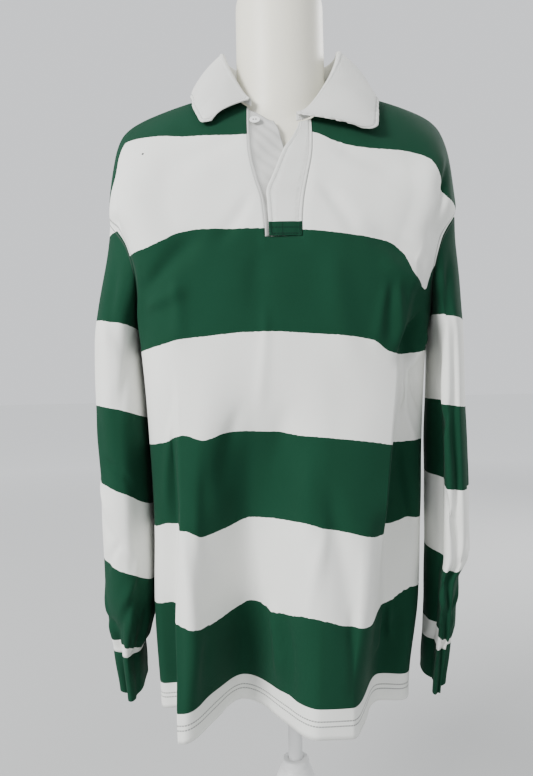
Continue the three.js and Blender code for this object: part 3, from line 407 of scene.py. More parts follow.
def unevenness(across: np.ndarray, z: np.ndarray, phase: float) -> np.ndarray:
    """Slow waves of a few tenths of a millimetre that keep the cloth from lying perfectly smooth.

    Args:
        across: place across.
        z: height.
        phase: moves the waves, so that no two pieces have the same ones.

    Returns:
        Depth in millimetres.
    """
    first = np.sin(across / 31 + 1.7 * np.sin(z / 73 + phase)) * np.sin(z / 57 + phase * 2.1)
    second = np.sin(across / 13 + z / 41 + phase * 3.3) * np.sin(z / 23 - across / 37 + phase)
    return WAVE_GAIN * (0.9 * first + 0.35 * second)


@dataclass(frozen=True)
class WornShirt:
    """The shape that the shirt's body hangs in, as points over shares across and steps down."""

    shoulder: Table = SHOULDER
    sections: Table = SECTIONS
    fold_lines: Table = FOLD_LINES
    slit: Table = SLIT
    folds: tuple[Fold, ...] = FOLDS
    neck_half: float = 66.0
    neck_top: float = 1121.0
    neck_drop_left: float = 60.0
    neck_drop_right: float = 80.0
    nape_rise: float = 2.0
    nape_crown: float = 60.0
    shoulder_tip: float = 950.0
    underarm: float = 815.0
    armhole_inset: float = 0.08
    shoulder_fall: float = 140.0
    seam_y: float = 6.0
    slit_bottom: float = 897.0
    slit_share: float = 0.1
    neck_share: float = 0.3
    fold_share: float = 0.8
    hem_z: float = 319.0
    hem_rise: float = 12.0
    back_corner: float = 2.8
    fold_onset: float = 0.36
    settle_rate: float = 2.5
    halvings: int = 30
    slope_step: float = 0.5

    def crown(self, face: Face, x: np.ndarray) -> np.ndarray:
        """Height of the shoulder line, which on the back goes on up under the collar.

        Args:
            face: front or back.
            x: place across.

        Returns:
            Heights.
        """
        reach = np.abs(x)
        left, right = (self.shoulder.at(reach, "z", key=side) for side in ("left", "right"))
        rise = self.nape_crown * (1 - (reach / self.neck_half) ** 2) if face is Face.BACK else 0.0
        return np.where(reach >= self.neck_half, by_side(x, left, right), self.neck_top + rise)

    def half(self, x: np.ndarray, z: np.ndarray) -> np.ndarray:
        """Half width of the body on the side of x."""
        return by_side(x, self.sections.at(z, "left"), self.sections.at(z, "right"))

    def smooth(self, face: Face, x: np.ndarray, z: np.ndarray) -> np.ndarray:
        """The cloth's outside without its folds.

        Args:
            face: front or back.
            x: place across.
            z: height.

        Returns:
            The place along Y.
        """
        x, z = np.broadcast_arrays(np.asarray(x, float), np.asarray(z, float))
        square = by_side(x, self.sections.at(z, "corner_left"), self.sections.at(z, "corner_right"))
        square = square if face is Face.FRONT else np.full_like(z, self.back_corner)
        share = np.minimum(1.0, np.abs(x) / self.half(x, z))
        rounding = (1 - share**square) ** (1 / square)
        drop = clamp01((self.crown(face, x) - z) / self.shoulder_fall)
        over = np.sqrt(1 - (1 - drop) ** 2)
        depth = self.sections.at(z, face.value) - face.sign * self.seam_y
        return self.seam_y + face.sign * depth * rounding * over

    def folded(self, face: Face, x: np.ndarray, z: np.ndarray) -> np.ndarray:
        """Points of the cloth's outside with its long folds.

        Args:
            face: front or back.
            x: place across.
            z: height.

        Returns:
            Points.
        """
        y = self.smooth(face, x, z)
        across = np.array(x, float)
        for fold in self.folds:
            if fold.face is not face:
                continue
            deep = np.abs(y - self.seam_y) / (self.sections.at(z, face.value) - face.sign * self.seam_y)
            along = clamp01((fold.top - z) / (fold.top - fold.full))
            left = 1 - ease((fold.fade - z) / (fold.fade - fold.end)) if fold.end else 1.0
            half = self.sections.at(z, "left" if fold.at < 0 else "right")
            away = x - mix(fold.at, fold.foot, along) * half
            reach = np.where(away < 0, fold.left, fold.right) * mix(1.0, fold.soften, along)
            shape = np.where(np.abs(away) < reach, 0.5 + 0.5 * np.cos(np.pi * away / reach), 0.0)
            move = fold.depth * along * ease(along / self.fold_onset) * left * shape * deep
            y = y - face.sign * move
            across = across - np.sign(x) * move * fold.spread
        return np.stack([across, y, z], axis=-1)

    def edge_share(self, z: np.ndarray) -> np.ndarray:
        """How much narrower the armhole makes a panel."""
        along = clamp01((self.shoulder_tip - z) / (self.shoulder_tip - self.underarm))
        return 1 - self.armhole_inset * np.sin(np.pi * along)

    def widest(self, share: np.ndarray, z: np.ndarray) -> np.ndarray:
        """The widest that a panel is."""
        line = by_side(share, self.shoulder.at(z, "left", key="z"), self.shoulder.at(z, "right", key="z"))
        return np.where(z >= self.shoulder_tip, line, self.half(share, z) * self.edge_share(z))

    def line_across(self, face: Face, share: np.ndarray, z: np.ndarray) -> np.ndarray:
        """Where a column of a panel lies below the shoulder.

        Args:
            face: front or back.
            share: place across the panel.
            z: height.

        Returns:
            Places across.
        """
        half = self.half(share, z)
        edge = half * self.edge_share(z)
        if face is Face.BACK:
            return share * edge
        sign, reach = np.sign(share), np.abs(share)
        left, right = self.slit.at(z, "left"), self.slit.at(z, "right")
        inside = mix(left, right, (share + self.slit_share) / (2 * self.slit_share))
        fold = half * by_side(share, self.fold_lines.at(z, "left"), self.fold_lines.at(z, "right"))
        middle = (reach - self.slit_share) / (self.fold_share - self.slit_share)
        between = mix(by_side(share, left, right), sign * fold, middle)
        outer = sign * mix(fold, edge, (reach - self.fold_share) / (1 - self.fold_share))
        return np.where(reach <= self.slit_share, inside, np.where(reach <= self.fold_share, between, outer))

    def neckline(self, x: np.ndarray) -> np.ndarray:
        """Height of the front neckline.

        Args:
            x: place across.

        Returns:
            Heights.
        """
        left, right = float(self.slit.at(self.neck_top, "left")), float(self.slit.at(self.neck_top, "right"))
        drop = mix(self.neck_drop_left, self.neck_drop_right, ease((x - left) / (right - left)))
        return self.neck_top - drop * np.sqrt(np.maximum(0.0, 1 - (x / self.neck_half) ** 2))

    def top_edge(self, face: Face, share: np.ndarray) -> tuple[np.ndarray, np.ndarray]:
        """The upper edge of a panel: the neckline, then the shoulder seams.

        Args:
            face: front or back.
            share: place across the panel.

        Returns:
            Places across, and heights.
        """
        reach, sign = np.abs(share), np.sign(share)
        along = clamp01((reach - self.neck_share) / (1 - self.neck_share))
        seam_x = sign * by_side(share, self.shoulder.at(along, "left"), self.shoulder.at(along, "right"))
        seam_z = self.shoulder.at(along, "z")
        if face is Face.BACK:
            x = self.neck_half * np.sin(np.pi / 2 * np.clip(share / self.neck_share, -1, 1))
            z = self.neck_top + self.nape_rise * (1 - (x / self.neck_half) ** 2)
        else:
            left, right = self.slit.at(self.neck_top, "left"), self.slit.at(self.neck_top, "right")
            inside = mix(left, right, (share + self.slit_share) / (2 * self.slit_share))
            beyond = clamp01((reach - self.slit_share) / (self.neck_share - self.slit_share))
            outside = mix(by_side(share, left, right), sign * self.neck_half, beyond)
            x = np.where(reach > self.slit_share, outside, inside)
            z = self.neckline(x)
        on_seam = reach >= self.neck_share
        return np.where(on_seam, seam_x, x), np.where(on_seam, seam_z, z)

    def hem(self, share: np.ndarray) -> np.ndarray:
        """Height of the hem."""
        return self.hem_z + self.hem_rise * (1 - share**2)

    def panel(self, face: Face, share: np.ndarray, down: np.ndarray) -> np.ndarray:
        """Points of a panel, from the top by the underarm's row at 1 to the hem at 2.

        Args:
            face: front or back.
            share: place across the panel.
            down: how far down the panel.

        Returns:
            Points.
        """
        share, down = np.broadcast_arrays(np.asarray(share, float), np.asarray(down, float))
        top_x, top_z = self.top_edge(face, share)
        beside = clamp01((np.abs(share) - self.slit_share) / (1 - self.slit_share))
        middle = mix(self.slit_bottom, self.underarm, beside**2)
        z = np.where(down >= 1, mix(middle, self.hem(share), down - 1), mix(top_z, middle, down))
        line = self.line_across(face, share, z)
        limit = self.widest(share, z)
        settle = ease(down * (1 + self.settle_rate * beside**3))
        across = mix(top_x, line, settle)
        most = limit * mix(1.0, np.minimum(1.0, np.abs(line) / limit), settle)
        x = np.where(np.abs(across) > most, np.sign(across) * most, across)
        return self.folded(face, np.where(down >= 1, line, x), z)

    def height_at(self, x: np.ndarray, y: np.ndarray) -> np.ndarray:
        """Height of the cloth over a point of the plan, near the shoulders.

        Args:
            x: place across.
            y: place along.

        Returns:
            Heights.
        """
        x, y = np.broadcast_arrays(np.asarray(x, float), np.asarray(y, float))
        front = y < self.seam_y
        low = np.full(x.shape, self.slit_bottom)
        high = np.where(front, self.crown(Face.FRONT, x), self.crown(Face.BACK, x))
        for _ in range(self.halvings):
            z = (low + high) / 2
            here = np.where(front, self.smooth(Face.FRONT, x, z), self.smooth(Face.BACK, x, z))
            deeper = np.abs(here - self.seam_y) > np.abs(y - self.seam_y)
            low, high = np.where(deeper, z, low), np.where(deeper, high, z)
        return low

    def under(self, x: np.ndarray, y: np.ndarray) -> tuple[np.ndarray, np.ndarray]:
        """The cloth under a point of the plan, and which way it looks there.

        Args:
            x: place across.
            y: place along.

        Returns:
            Points and normals.
        """
        z = self.height_at(x, y)
        front, step = y < self.seam_y, self.slope_step

        def at(dx: float, dz: float) -> np.ndarray:
            """The cloth's place along Y beside the point."""
            pair = (self.smooth(face, x + dx, z + dz) for face in Face)
            return np.where(front, *pair)

        across = at(step, 0) - at(-step, 0)
        up = at(0, step) - at(0, -step)
        sign = np.where(front, -1.0, 1.0)
        normal = np.stack([-across, np.ones_like(across), -up], axis=-1) * sign[..., None]
        normal /= np.linalg.norm(normal, axis=-1, keepdims=True)
        return np.stack([x, y, z], axis=-1), normal


SHIRT = WornShirt()


def new_object(name: str, shell: bmesh.types.BMesh, *materials: bpy.types.Material) -> bpy.types.Object:
    """Turns a mesh that is being made into an object with smooth faces.

    Args:
        name: the object's name.
        shell: the mesh, which is freed.
        materials: what it is made of.

    Returns:
        The object, in the scene.
    """
    for face in shell.faces:
        face.smooth = True
    mesh = bpy.data.meshes.new(name)
    shell.to_mesh(mesh)
    shell.free()
    for material in materials:
        mesh.materials.append(material)
    made = bpy.data.objects.new(name, mesh)
    bpy.context.scene.collection.objects.link(made)
    return made


def fit(piece: bpy.types.Object, nodes: tuple[str, ...]) -> None:
    """Sets a piece on the part, in the place of its solids.

    Args:
        piece: the piece.
        nodes: the solids that it stands for.
    """
    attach(piece, "root")
    if nodes:
        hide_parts(*nodes)
    LOG.info("%s: %d faces", piece.name, len(piece.data.polygons))


@dataclass(frozen=True)
class Sheet:
    """The cut of a piece of cloth, in metres and square metres, and what the cloth hangs on."""

    flat: tuple[float, float]
    area: float
    rests: str

    def declare(self, piece: bpy.types.Object) -> None:
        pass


@dataclass
class GridPiece:
    """A sheet of cloth made from a flat grid whose corners are moved to the points."""

    name: str
    points: np.ndarray
    outward: np.ndarray
    slot: str
    nodes: tuple[str, ...]
    numbers: dict[str, np.ndarray] = field(default_factory=dict)
    wraps: bool = False
    cut: np.ndarray | None = None
    thick: float = 0.0

    def build(self, material: bpy.types.Material) -> bpy.types.Object:
        """Makes the mesh and the object.

        Args:
            material: what it is made of.

        Returns:
            The object, riding on the part.
        """
        shell = bmesh.new()
        for key in self.numbers:
            shell.verts.layers.float.new(key)
        layers = {key: shell.verts.layers.float[key] for key in self.numbers}
        corners = self.lay_grid(shell)
        for (r, c), vert in corners.items():
            vert.co = self.points[r, c] * MM
            for key, layer in layers.items():
                vert[layer] = float(self.numbers[key][r, c])
        if self.wraps:
            self.weld_seam(shell, corners)
        self.face_outward(shell)
        piece = new_object(self.name, shell, material)
        if self.thick:
            wall = piece.modifiers.new("thickness", "SOLIDIFY")
            wall.thickness = self.thick * MM
            wall.offset = -1
        fit(piece, self.nodes)
        return piece

    def add_to(self, body: bmesh.types.BMesh) -> None:
        """Adds the piece, closed all round, to a mesh that is being made.

        Args:
            body: the mesh.
        """
        corners = self.lay_grid(body)
        for (r, c), vert in corners.items():
            vert.co = self.points[r, c] * MM
        made = list(corners.values())
        self.weld_seam(body, corners)
        bmesh.ops.remove_doubles(body, verts=[vert for vert in made if vert.is_valid], dist=1e-6)
        bmesh.ops.holes_fill(body, edges=body.edges[:], sides=0)
        bmesh.ops.recalc_face_normals(body, faces=body.faces[:])

    def place_of(self, spot: Vector) -> tuple[int, int]:
        """Row and column of a corner of the flat grid."""
        rows, columns = self.points.shape[:2]
        return round((spot.y + 0.5) * (rows - 1)), round((spot.x + 0.5) * (columns - 1))

    def lay_grid(self, shell: bmesh.types.BMesh) -> dict[tuple[int, int], bmesh.types.BMVert]:
        """Lays the flat grid, without the cells that are cut away.

        Args:
            shell: the mesh that it goes into.

        Returns:
            Its corners, by row and column.
        """
        rows, columns = self.points.shape[:2]
        grid = bmesh.ops.create_grid(shell, x_segments=columns - 1, y_segments=rows - 1, size=0.5)
        made = grid["verts"]
        if self.cut is not None:
            doomed = []
            for face in shell.faces:
                middle = face.calc_center_median()
                r, c = int((middle.y + 0.5) * (rows - 1)), int((middle.x + 0.5) * (columns - 1))
                if self.cut[r, c]:
                    doomed.append(face)
            bmesh.ops.delete(shell, geom=doomed, context="FACES")
            made = shell.verts[:]
        return {self.place_of(vert.co): vert for vert in made}

    def weld_seam(
        self, shell: bmesh.types.BMesh, corners: dict[tuple[int, int], bmesh.types.BMVert]
    ) -> None:
        """Joins the last column to the first.

        Args:
            shell: the mesh.
            corners: its corners, by row and column.
        """
        rows, columns = self.points.shape[:2]
        seam = {corners[r, columns - 1]: corners[r, 0] for r in range(rows)}
        bmesh.ops.weld_verts(shell, targetmap=seam)

    def face_outward(self, shell: bmesh.types.BMesh) -> None:
        """Turns the faces over if most of them look inward.

        Args:
            shell: the mesh.
        """
        shell.normal_update()
        agree = 0.0
        for face in list(shell.faces)[:: max(1, len(shell.faces) // 400)]:
            spot = np.array(face.calc_center_median()) / MM
            away = np.sum((self.points[::4, ::4] - spot) ** 2, axis=-1)
            r, c = np.unravel_index(np.argmin(away), away.shape)
            agree += float(np.dot(np.array(face.normal), self.outward[::4, ::4][r, c]))
        if agree < 0:
            bmesh.ops.reverse_faces(shell, faces=shell.faces[:])


def lay_creases(
    points: np.ndarray, normals: np.ndarray, depth: np.ndarray, hold: np.ndarray
) -> np.ndarray:
    """Moves points back by the creases, except where the cloth is held."""
    return points - normals * (depth * hold)[..., None]


def running(points: np.ndarray, axis: int) -> np.ndarray:
    """Distance run along a grid's rows or columns, along the cloth.

    Args:
        points: the grid.
        axis: 0 for down the columns and 1 for along the rows.

    Returns:
        Distances in millimetres.
    """
    step = np.linalg.norm(np.diff(points, axis=axis), axis=-1)
    total = np.cumsum(step, axis=axis)
    start = np.zeros_like(np.take(total, [0], axis=axis))
    return np.concatenate([start, total], axis=axis)


def edges_passed(z: np.ndarray, edges: list[np.ndarray]) -> np.ndarray:
    """Counts the hoops passed from the top, so that an odd whole number is a white hoop."""
    bounds = [HOOP_ENDS[0], *edges, HOOP_ENDS[1]]
    return sum(clamp01((high - z) / (high - low)) for high, low in zip(bounds[:-1], bounds[1:]))


Value = "Wire | float"


class Wire:
    """A value in a shader that can be reckoned with like a number."""

    def __init__(self, shader: "Shader", socket: bpy.types.NodeSocket) -> None:
        """Holds the socket where the value comes out."""
        self.shader = shader
        self.socket = socket

    def maths(self, operation: str, *values: Value) -> "Wire":
        """Makes a maths node."""
        made = self.shader.node("ShaderNodeMath", {"operation": operation}, dict(enumerate(values)))
        return Wire(self.shader, made.outputs[0])

    def __add__(self, other: Value) -> "Wire":
        """The sum."""
        return self.maths("ADD", self, other)

    __radd__ = __add__

    def __sub__(self, other: Value) -> "Wire":
        """The difference."""
        return self.maths("SUBTRACT", self, other)

    def __rsub__(self, other: Value) -> "Wire":
        """The difference from a number."""
        return self.maths("SUBTRACT", other, self)

    def __mul__(self, other: Value) -> "Wire":
        """The product."""
        return self.maths("MULTIPLY", self, other)

    __rmul__ = __mul__

    def __or__(self, other: Value) -> "Wire":
        """The greater of two, which joins two masks."""
        return self.maths("MAXIMUM", self, other)

    def within(self, middle: float, reach: float) -> "Wire":
        """One within a reach of a value, and nought elsewhere."""
        return self.maths("COMPARE", self, middle, reach)

    def above(self, limit: float) -> "Wire":
        """One above a limit, and nought elsewhere."""
        return self.maths("GREATER_THAN", self, limit)

    def below(self, limit: float) -> "Wire":
        """One below a limit, and nought elsewhere."""
        return self.maths("LESS_THAN", self, limit)

    def fraction(self) -> "Wire":
        """What is left of the value after its whole number."""
        return self.maths("FRACT", self)

    def root(self) -> "Wire":
        """The square root."""
        return self.maths("SQRT", self)

    def held(self) -> "Wire":
        """The value, held between nought and one."""
        return self.maths("MINIMUM", self.maths("MAXIMUM", self, 0.0), 1.0)

    def wave(self, length: float) -> "Wire":
        """A sine wave of this length along the value."""
        return self.maths("SINE", self * (2 * math.pi / length))


class Shader:
    """One material, put together from a few kinds of node."""

    def __init__(self, name: str, roughness: float) -> None:
        """Makes the material and its surface.

        Args:
            name: the material's name.
            roughness: how rough the surface is.
        """
        self.material = bpy.data.materials.new(name)
        self.material.use_nodes = True
        self.tree = self.material.node_tree
        self.surface = self.tree.nodes["Principled BSDF"]
        self.surface.inputs["Roughness"].default_value = roughness

    def feed(self, socket: bpy.types.NodeSocket, value: object) -> None:
        """Sets an input.

        Args:
            socket: the input.
            value: a number, a colour, a socket or a wire.
        """
        value = value.socket if isinstance(value, Wire) else value
        if isinstance(value, bpy.types.NodeSocket):
            self.tree.links.new(value, socket)
        else:
            socket.default_value = (*value, 1.0) if isinstance(value, tuple) else value

    def node(self, kind: str, settings: dict | None = None, inputs: dict | None = None) -> bpy.types.Node:
        """Makes a node.

        Args:
            kind: its type.
            settings: its properties.
            inputs: its inputs, by name or number.

        Returns:
            The node.
        """
        made = self.tree.nodes.new(kind)
        for name, value in (settings or {}).items():
            setattr(made, name, value)
        for key, value in (inputs or {}).items():
            self.feed(made.inputs[key], value)
        return made

    def number(self, name: str) -> Wire:
        """A number that the mesh carries."""
        return Wire(self, self.node("ShaderNodeAttribute", {"attribute_name": name}).outputs["Fac"])

    def place(self) -> tuple[Wire, ...]:
        """Where a point of the object lies, as X, Y and Z in metres."""
        spot = self.node("ShaderNodeTexCoord").outputs["Object"]
        return tuple(Wire(self, out) for out in self.node("ShaderNodeSeparateXYZ", inputs={0: spot}).outputs)

    def noise(self, scale: float, detail: float) -> Wire:
        """Noise fixed to the object.

        Args:
            scale: how many patches there are in a metre.
            detail: how much fine detail it has.

        Returns:
            The noise, round a half.
        """
        spot = self.node("ShaderNodeTexCoord").outputs["Object"]
        inputs = {"Scale": scale, "Detail": detail, "Vector": spot}
        return Wire(self, self.node("ShaderNodeTexNoise", inputs=inputs).outputs["Fac"])

    def blend(self, factor: Wire, first: object, second: object) -> bpy.types.NodeSocket:
        """Mixes two colours."""
        made = self.node("ShaderNodeMix", {"data_type": "RGBA"}, {0: factor, 6: first, 7: second})
        return made.outputs[2]

    def surface_input(self, **values: object) -> None:
        """Sets inputs of the surface, written with _ for a space."""
        for name, value in values.items():
            self.feed(self.surface.inputs[name.replace("_", " ")], value)

    def bump(self, height: Wire, distance: float) -> None:
        """Gives the surface its fine relief."""
        inputs = {"Distance": distance, "Strength": 0.6, "Height": height}
        self.surface_input(Normal=self.node("ShaderNodeBump", inputs=inputs).outputs["Normal"])


Colour = tuple[float, float, float]
GREEN: tuple[Colour, Colour] = ((0.0044, 0.034, 0.017), (0.008, 0.050, 0.027))
WHITE: tuple[Colour, Colour] = ((0.80, 0.805, 0.765), (0.72, 0.725, 0.69))
# A darker white for the under placket: painted shade where it lies back behind the over placket.
PAINTED_SHADE_WHITE: tuple[Colour, Colour] = ((0.6, 0.6, 0.575), (0.5, 0.5, 0.48))

@dataclass(frozen=True)
class Jersey:
    """The hooped jersey of the body, sleeves and cuffs."""

    hem_band: float = 34.0
    hem_lines: tuple[float, float] = (15.0, 20.5)
    seam_line: float = 4.5
    line_half: float = 0.75
    dash: float = 3.4
    thread: Colour = (0.06, 0.065, 0.062)
    snag: tuple[float, float] = (-0.1735, 1.0125)
    snag_size: float = 0.0015
    stitch: tuple[float, float] = (1.5, 1.9)

    def material(self) -> bpy.types.Material:
        """Makes the material.

        Returns:
            The material.
        """
        shader = Shader("hooped_jersey", 0.9)
        hoop, hem, seam, across, down, weft, warp = (
            shader.number(name) for name in ("hoop", "hem", "seam", "across", "down", "weft", "warp")
        )
        waver = (shader.noise(260, 1.0) - 0.5) * 0.012
        white = ((hoop + waver) * 0.5).fraction().above(0.5) | hem.below(self.hem_band)
        mottle, fine = shader.noise(14, 3.0), shader.noise(900, 2.0)
        green = shader.blend(mottle * 0.5 + fine * 0.45 - 0.15, *GREEN)
        pale = shader.blend(mottle * 0.7 + fine * 0.3 - 0.05, *WHITE)
        cloth = shader.blend(white, green, pale)
        line = hem.within(self.hem_lines[0], self.line_half) | hem.within(self.hem_lines[1], self.line_half)
        hem_thread = line * across.wave(self.dash).above(-0.55)
        seam_thread = seam.within(self.seam_line, self.line_half) * down.wave(self.dash).above(-0.5)
        x, y, z = shader.place()
        aside, above = x - self.snag[0], z - self.snag[1]
        snag = (aside * aside + above * above).root().below(self.snag_size) * y.below(0.0)
        marks = (hem_thread | seam_thread) * 0.8 | snag
        knit = weft.wave(self.stitch[0]) * warp.wave(self.stitch[1])
        groove = hem.within(self.hem_band, 0.8) + line + seam.within(self.seam_line, 0.9)
        shader.bump(knit * 0.35 + fine * 0.6 - groove * 1.6, 0.0004)
        shader.surface_input(
            Base_Color=shader.blend(marks, cloth, self.thread), Roughness=fine * 0.1 + 0.82,
            Sheen_Weight=0.02, Sheen_Roughness=0.5, Specular_IOR_Level=0.08,
        )
        return shader.material


@dataclass(frozen=True)
class Twill:
    """White cotton twill with stitches along its edges, and a stitched green foot on the over placket."""

    name: str
    stitch_in: float
    tones: tuple[Colour, Colour] = WHITE
    footed: bool = False
    foot_green: float = 17.0
    foot_line: float = 9.8
    foot_middle: float = 16.0
    foot_rim: float = 2.6
    foot_thread: Colour = (0.003, 0.012, 0.008)
    line_half: float = 0.6
    rib: float = 1.1

    def material(self) -> bpy.types.Material:
        """Makes the material.

        Returns:
            The material.
        """
        shader = Shader(self.name, 0.85)
        rim, across, down = (shader.number(key) for key in ("rim", "across", "down"))
        mottle, fine = shader.noise(22, 3.0), shader.noise(700, 2.0)
        pale = shader.blend(mottle * 0.8 + fine * 0.2 - 0.1, *self.tones)
        dash = (across + down).wave(3.0).above(-0.4)
        stitches = rim.within(self.stitch_in, self.line_half) * dash
        if self.footed:
            foot = shader.number("foot")
            green = shader.blend(mottle * 0.5 + fine * 0.4 - 0.1, *GREEN)
            on_foot = foot.below(self.foot_green)
            lines = foot.within(self.foot_line, self.line_half)
            lines = lines | across.within(self.foot_middle, self.line_half)
            lines = lines | rim.within(self.foot_rim, self.line_half)
            pale = shader.blend(lines * on_foot * dash, shader.blend(on_foot, pale, green), self.foot_thread)
            stitches = stitches * foot.above(self.foot_green)
        rib = (across + down).wave(self.rib)
        shader.bump(rib * 0.4 + fine * 0.5 - rim.within(self.stitch_in, 0.9) * 2.4, 0.0005)
        shader.surface_input(
            Base_Color=shader.blend(stitches * 0.55, pale, (0.22, 0.22, 0.21)),
            Roughness=fine * 0.1 + 0.78, Sheen_Weight=0.02, Specular_IOR_Level=0.08,
        )
        return shader.material


@dataclass(frozen=True)
class Smooth:
    """A smooth painted or moulded surface with faint scuffs."""

    name: str
    light: Colour
    dark: Colour
    rough: float

    def material(self) -> bpy.types.Material:
        """Makes the material.

        Returns:
            The material.
        """
        shader = Shader(self.name, self.rough)
        patches, fine = shader.noise(9, 4.0), shader.noise(240, 3.0)
        shader.surface_input(
            Base_Color=shader.blend(patches * 0.6 + fine * 0.2 - 0.1, self.light, self.dark),
            Roughness=fine * 0.12 + (patches * 0.1 + (self.rough - 0.1)),
        )
        shader.bump(fine * 0.5 + patches, 0.0002)
        return shader.material


def jersey_numbers(
    points: np.ndarray, hoop: np.ndarray, hem: np.ndarray, seam: np.ndarray, weft: np.ndarray
) -> dict[str, np.ndarray]:
    """The numbers that the jersey's finish reads.

    Args:
        points: the cloth's points.
        hoop: edges passed between the hoops.
        hem: height over the hem.
        seam: distance from the stitched seam.
        weft: place across the knit.

    Returns:
        The numbers, by name.
    """
    across, down = running(points, 1), running(points, 0)
    return {
        "hoop": hoop, "hem": hem, "seam": seam, "across": across, "down": down, "weft": weft,
        "warp": points[..., 2],
    }


class Cloth:
    """A sub-assembly that is one piece of cloth, with its cut size in the field named sheet."""

    sheet: Sheet

    def piece(self) -> GridPiece:
        """Works out the piece."""
        raise NotImplementedError

    def build(self, finish: bpy.types.Material) -> None:
        self.sheet.declare(self.piece().build(finish))


@dataclass(frozen=True)
class BodyPanel(Cloth):
    """The front or the back of the body, with its folds, creases and hoops."""

    face: Face
    phase: float
    crowd: tuple[float, float] = (1.6, 1.0)
    rows: tuple[int, int] = (84, 104)
    held_top: float = 0.06
    ripple: float = 0.5
    ripple_length: float = 9.0
    ripple_reach: float = 16.0
    neck_columns: int = 15
    inner_columns: int = 54
    side_columns: int = 44
    side_width: float = 0.2
    side_crowd: float = 1.6
    seam_run: float = 220.0
    lap_run: float = 0.04
    lap_over: float = 3.0
    lap_lift: float = 1.0
    back_rise: float = 14.0
    back_sides: tuple[float, float] = (-187.0, 178.0)
    drop_start: float = 206.0
    drop_run: float = 12.0
    drop: float = 90.0
    sheet: Sheet = Sheet((0.62, 0.81), 0.47, "form_body")

    def shares(self) -> np.ndarray:
        """The columns: close together at the sides, where the cloth turns.

        Returns:
            Shares across.
        """
        side = 1 - self.side_width * (1 - np.linspace(0, 1, self.side_columns)) ** self.side_crowd
        inner = np.linspace(SHIRT.neck_share, SHIRT.fold_share, self.inner_columns)[:-1]
        neck = np.linspace(SHIRT.slit_share, SHIRT.neck_share, self.neck_columns)[:-1]
        middle = np.linspace(-SHIRT.slit_share, SHIRT.slit_share, self.neck_columns)[:-1]
        half = np.concatenate([neck, inner, side])
        return np.concatenate([-half[::-1], middle[1:], half])

    def hoops(self, points: np.ndarray) -> np.ndarray:
        """Hoops, which sag towards the sides and turn down over the shoulders.

        Args:
            points: the panel's points.

        Returns:
            Edges passed.
        """
        x, z = points[..., 0], points[..., 2]
        names = FRONT_HOOPS.columns[1:]
        if self.face is Face.FRONT:
            return edges_passed(z, [FRONT_HOOPS.at(x, name) for name in names])
        left, right = self.back_sides
        rise = self.back_rise * (1 - (x / right) ** 2)
        along = (x - left) / (right - left)
        edges = [
            mix(FRONT_HOOPS.at(left, name), FRONT_HOOPS.at(right, name), along) + rise for name in names
        ]
        edges[0] = edges[0] - self.drop * ease((np.abs(x) - self.drop_start) / self.drop_run)
        return edges_passed(z, edges)

    def lap(self, points: np.ndarray, share: np.ndarray, down: np.ndarray) -> None:
        """Laps the back's shoulder edges over the front's.

        Args:
            points: the panel's points, which are moved.
            share: place across.
            down: place down.
        """
        lap = (1 - ease(down / self.lap_run)) * (np.abs(share) >= SHIRT.neck_share)
        points[..., 1] -= self.lap_over * lap
        points[..., 2] += self.lap_lift * lap

    def piece(self) -> GridPiece:
        """Works out the panel.

        Returns:
            The panel.
        """
        shares, front = self.shares(), self.face is Face.FRONT
        crowd = mix(*self.crowd, shares**4)
        above = np.linspace(0, 1, self.rows[0])[:-1, None] ** crowd[None, :]
        below = np.repeat(1 + np.linspace(0, 1, self.rows[1])[:, None], len(shares), axis=1)
        down = np.concatenate([above, below])
        share = np.repeat(shares[None, :], len(down), axis=0)
        smooth = SHIRT.panel(self.face, share, down)
        outward = np.zeros_like(smooth)
        outward[..., 1] = self.face.sign
        normals = grid_normals(smooth, False, outward)
        beside = ease((1 - np.abs(share)) / HELD_EDGE)
        hold = beside * ease(down / self.held_top)
        depth = crease_field(CREASES[self.face], smooth[..., 0], smooth[..., 2])
        depth = depth + unevenness(smooth[..., 0], smooth[..., 2], self.phase)
        if front:
            slit = ease((np.abs(share) - SHIRT.slit_share) / HELD_EDGE)
            hold = hold * np.where(down < 1.02, slit, 1.0)
        hem = smooth[..., 2] - SHIRT.hem(share)
        points = lay_creases(smooth, normals, depth, hold)
        ripple = self.ripple * np.sin(running(points, 1) / self.ripple_length)
        ripple = ripple * np.exp(-((hem / self.ripple_reach) ** 2))
        points = points + normals * (ripple * beside)[..., None]
        if not front:
            self.lap(points, share, down)
        seam = np.where(down <= 1.001, (1 - np.abs(share)) * self.seam_run, FAR)
        middle = (shares[:-1] + shares[1:]) / 2
        cut = (np.abs(middle)[None, :] < SHIRT.slit_share) & (down[1:, :1] <= 1 + 1e-9)
        return GridPiece(
            f"{self.face.value}_cloth", points, outward, "green_cloth", (f"{self.face.value}_panel",),
            jersey_numbers(points, self.hoops(smooth), hem, seam, points[..., 0]),
            cut=cut if front else None, thick=WALL,
        )


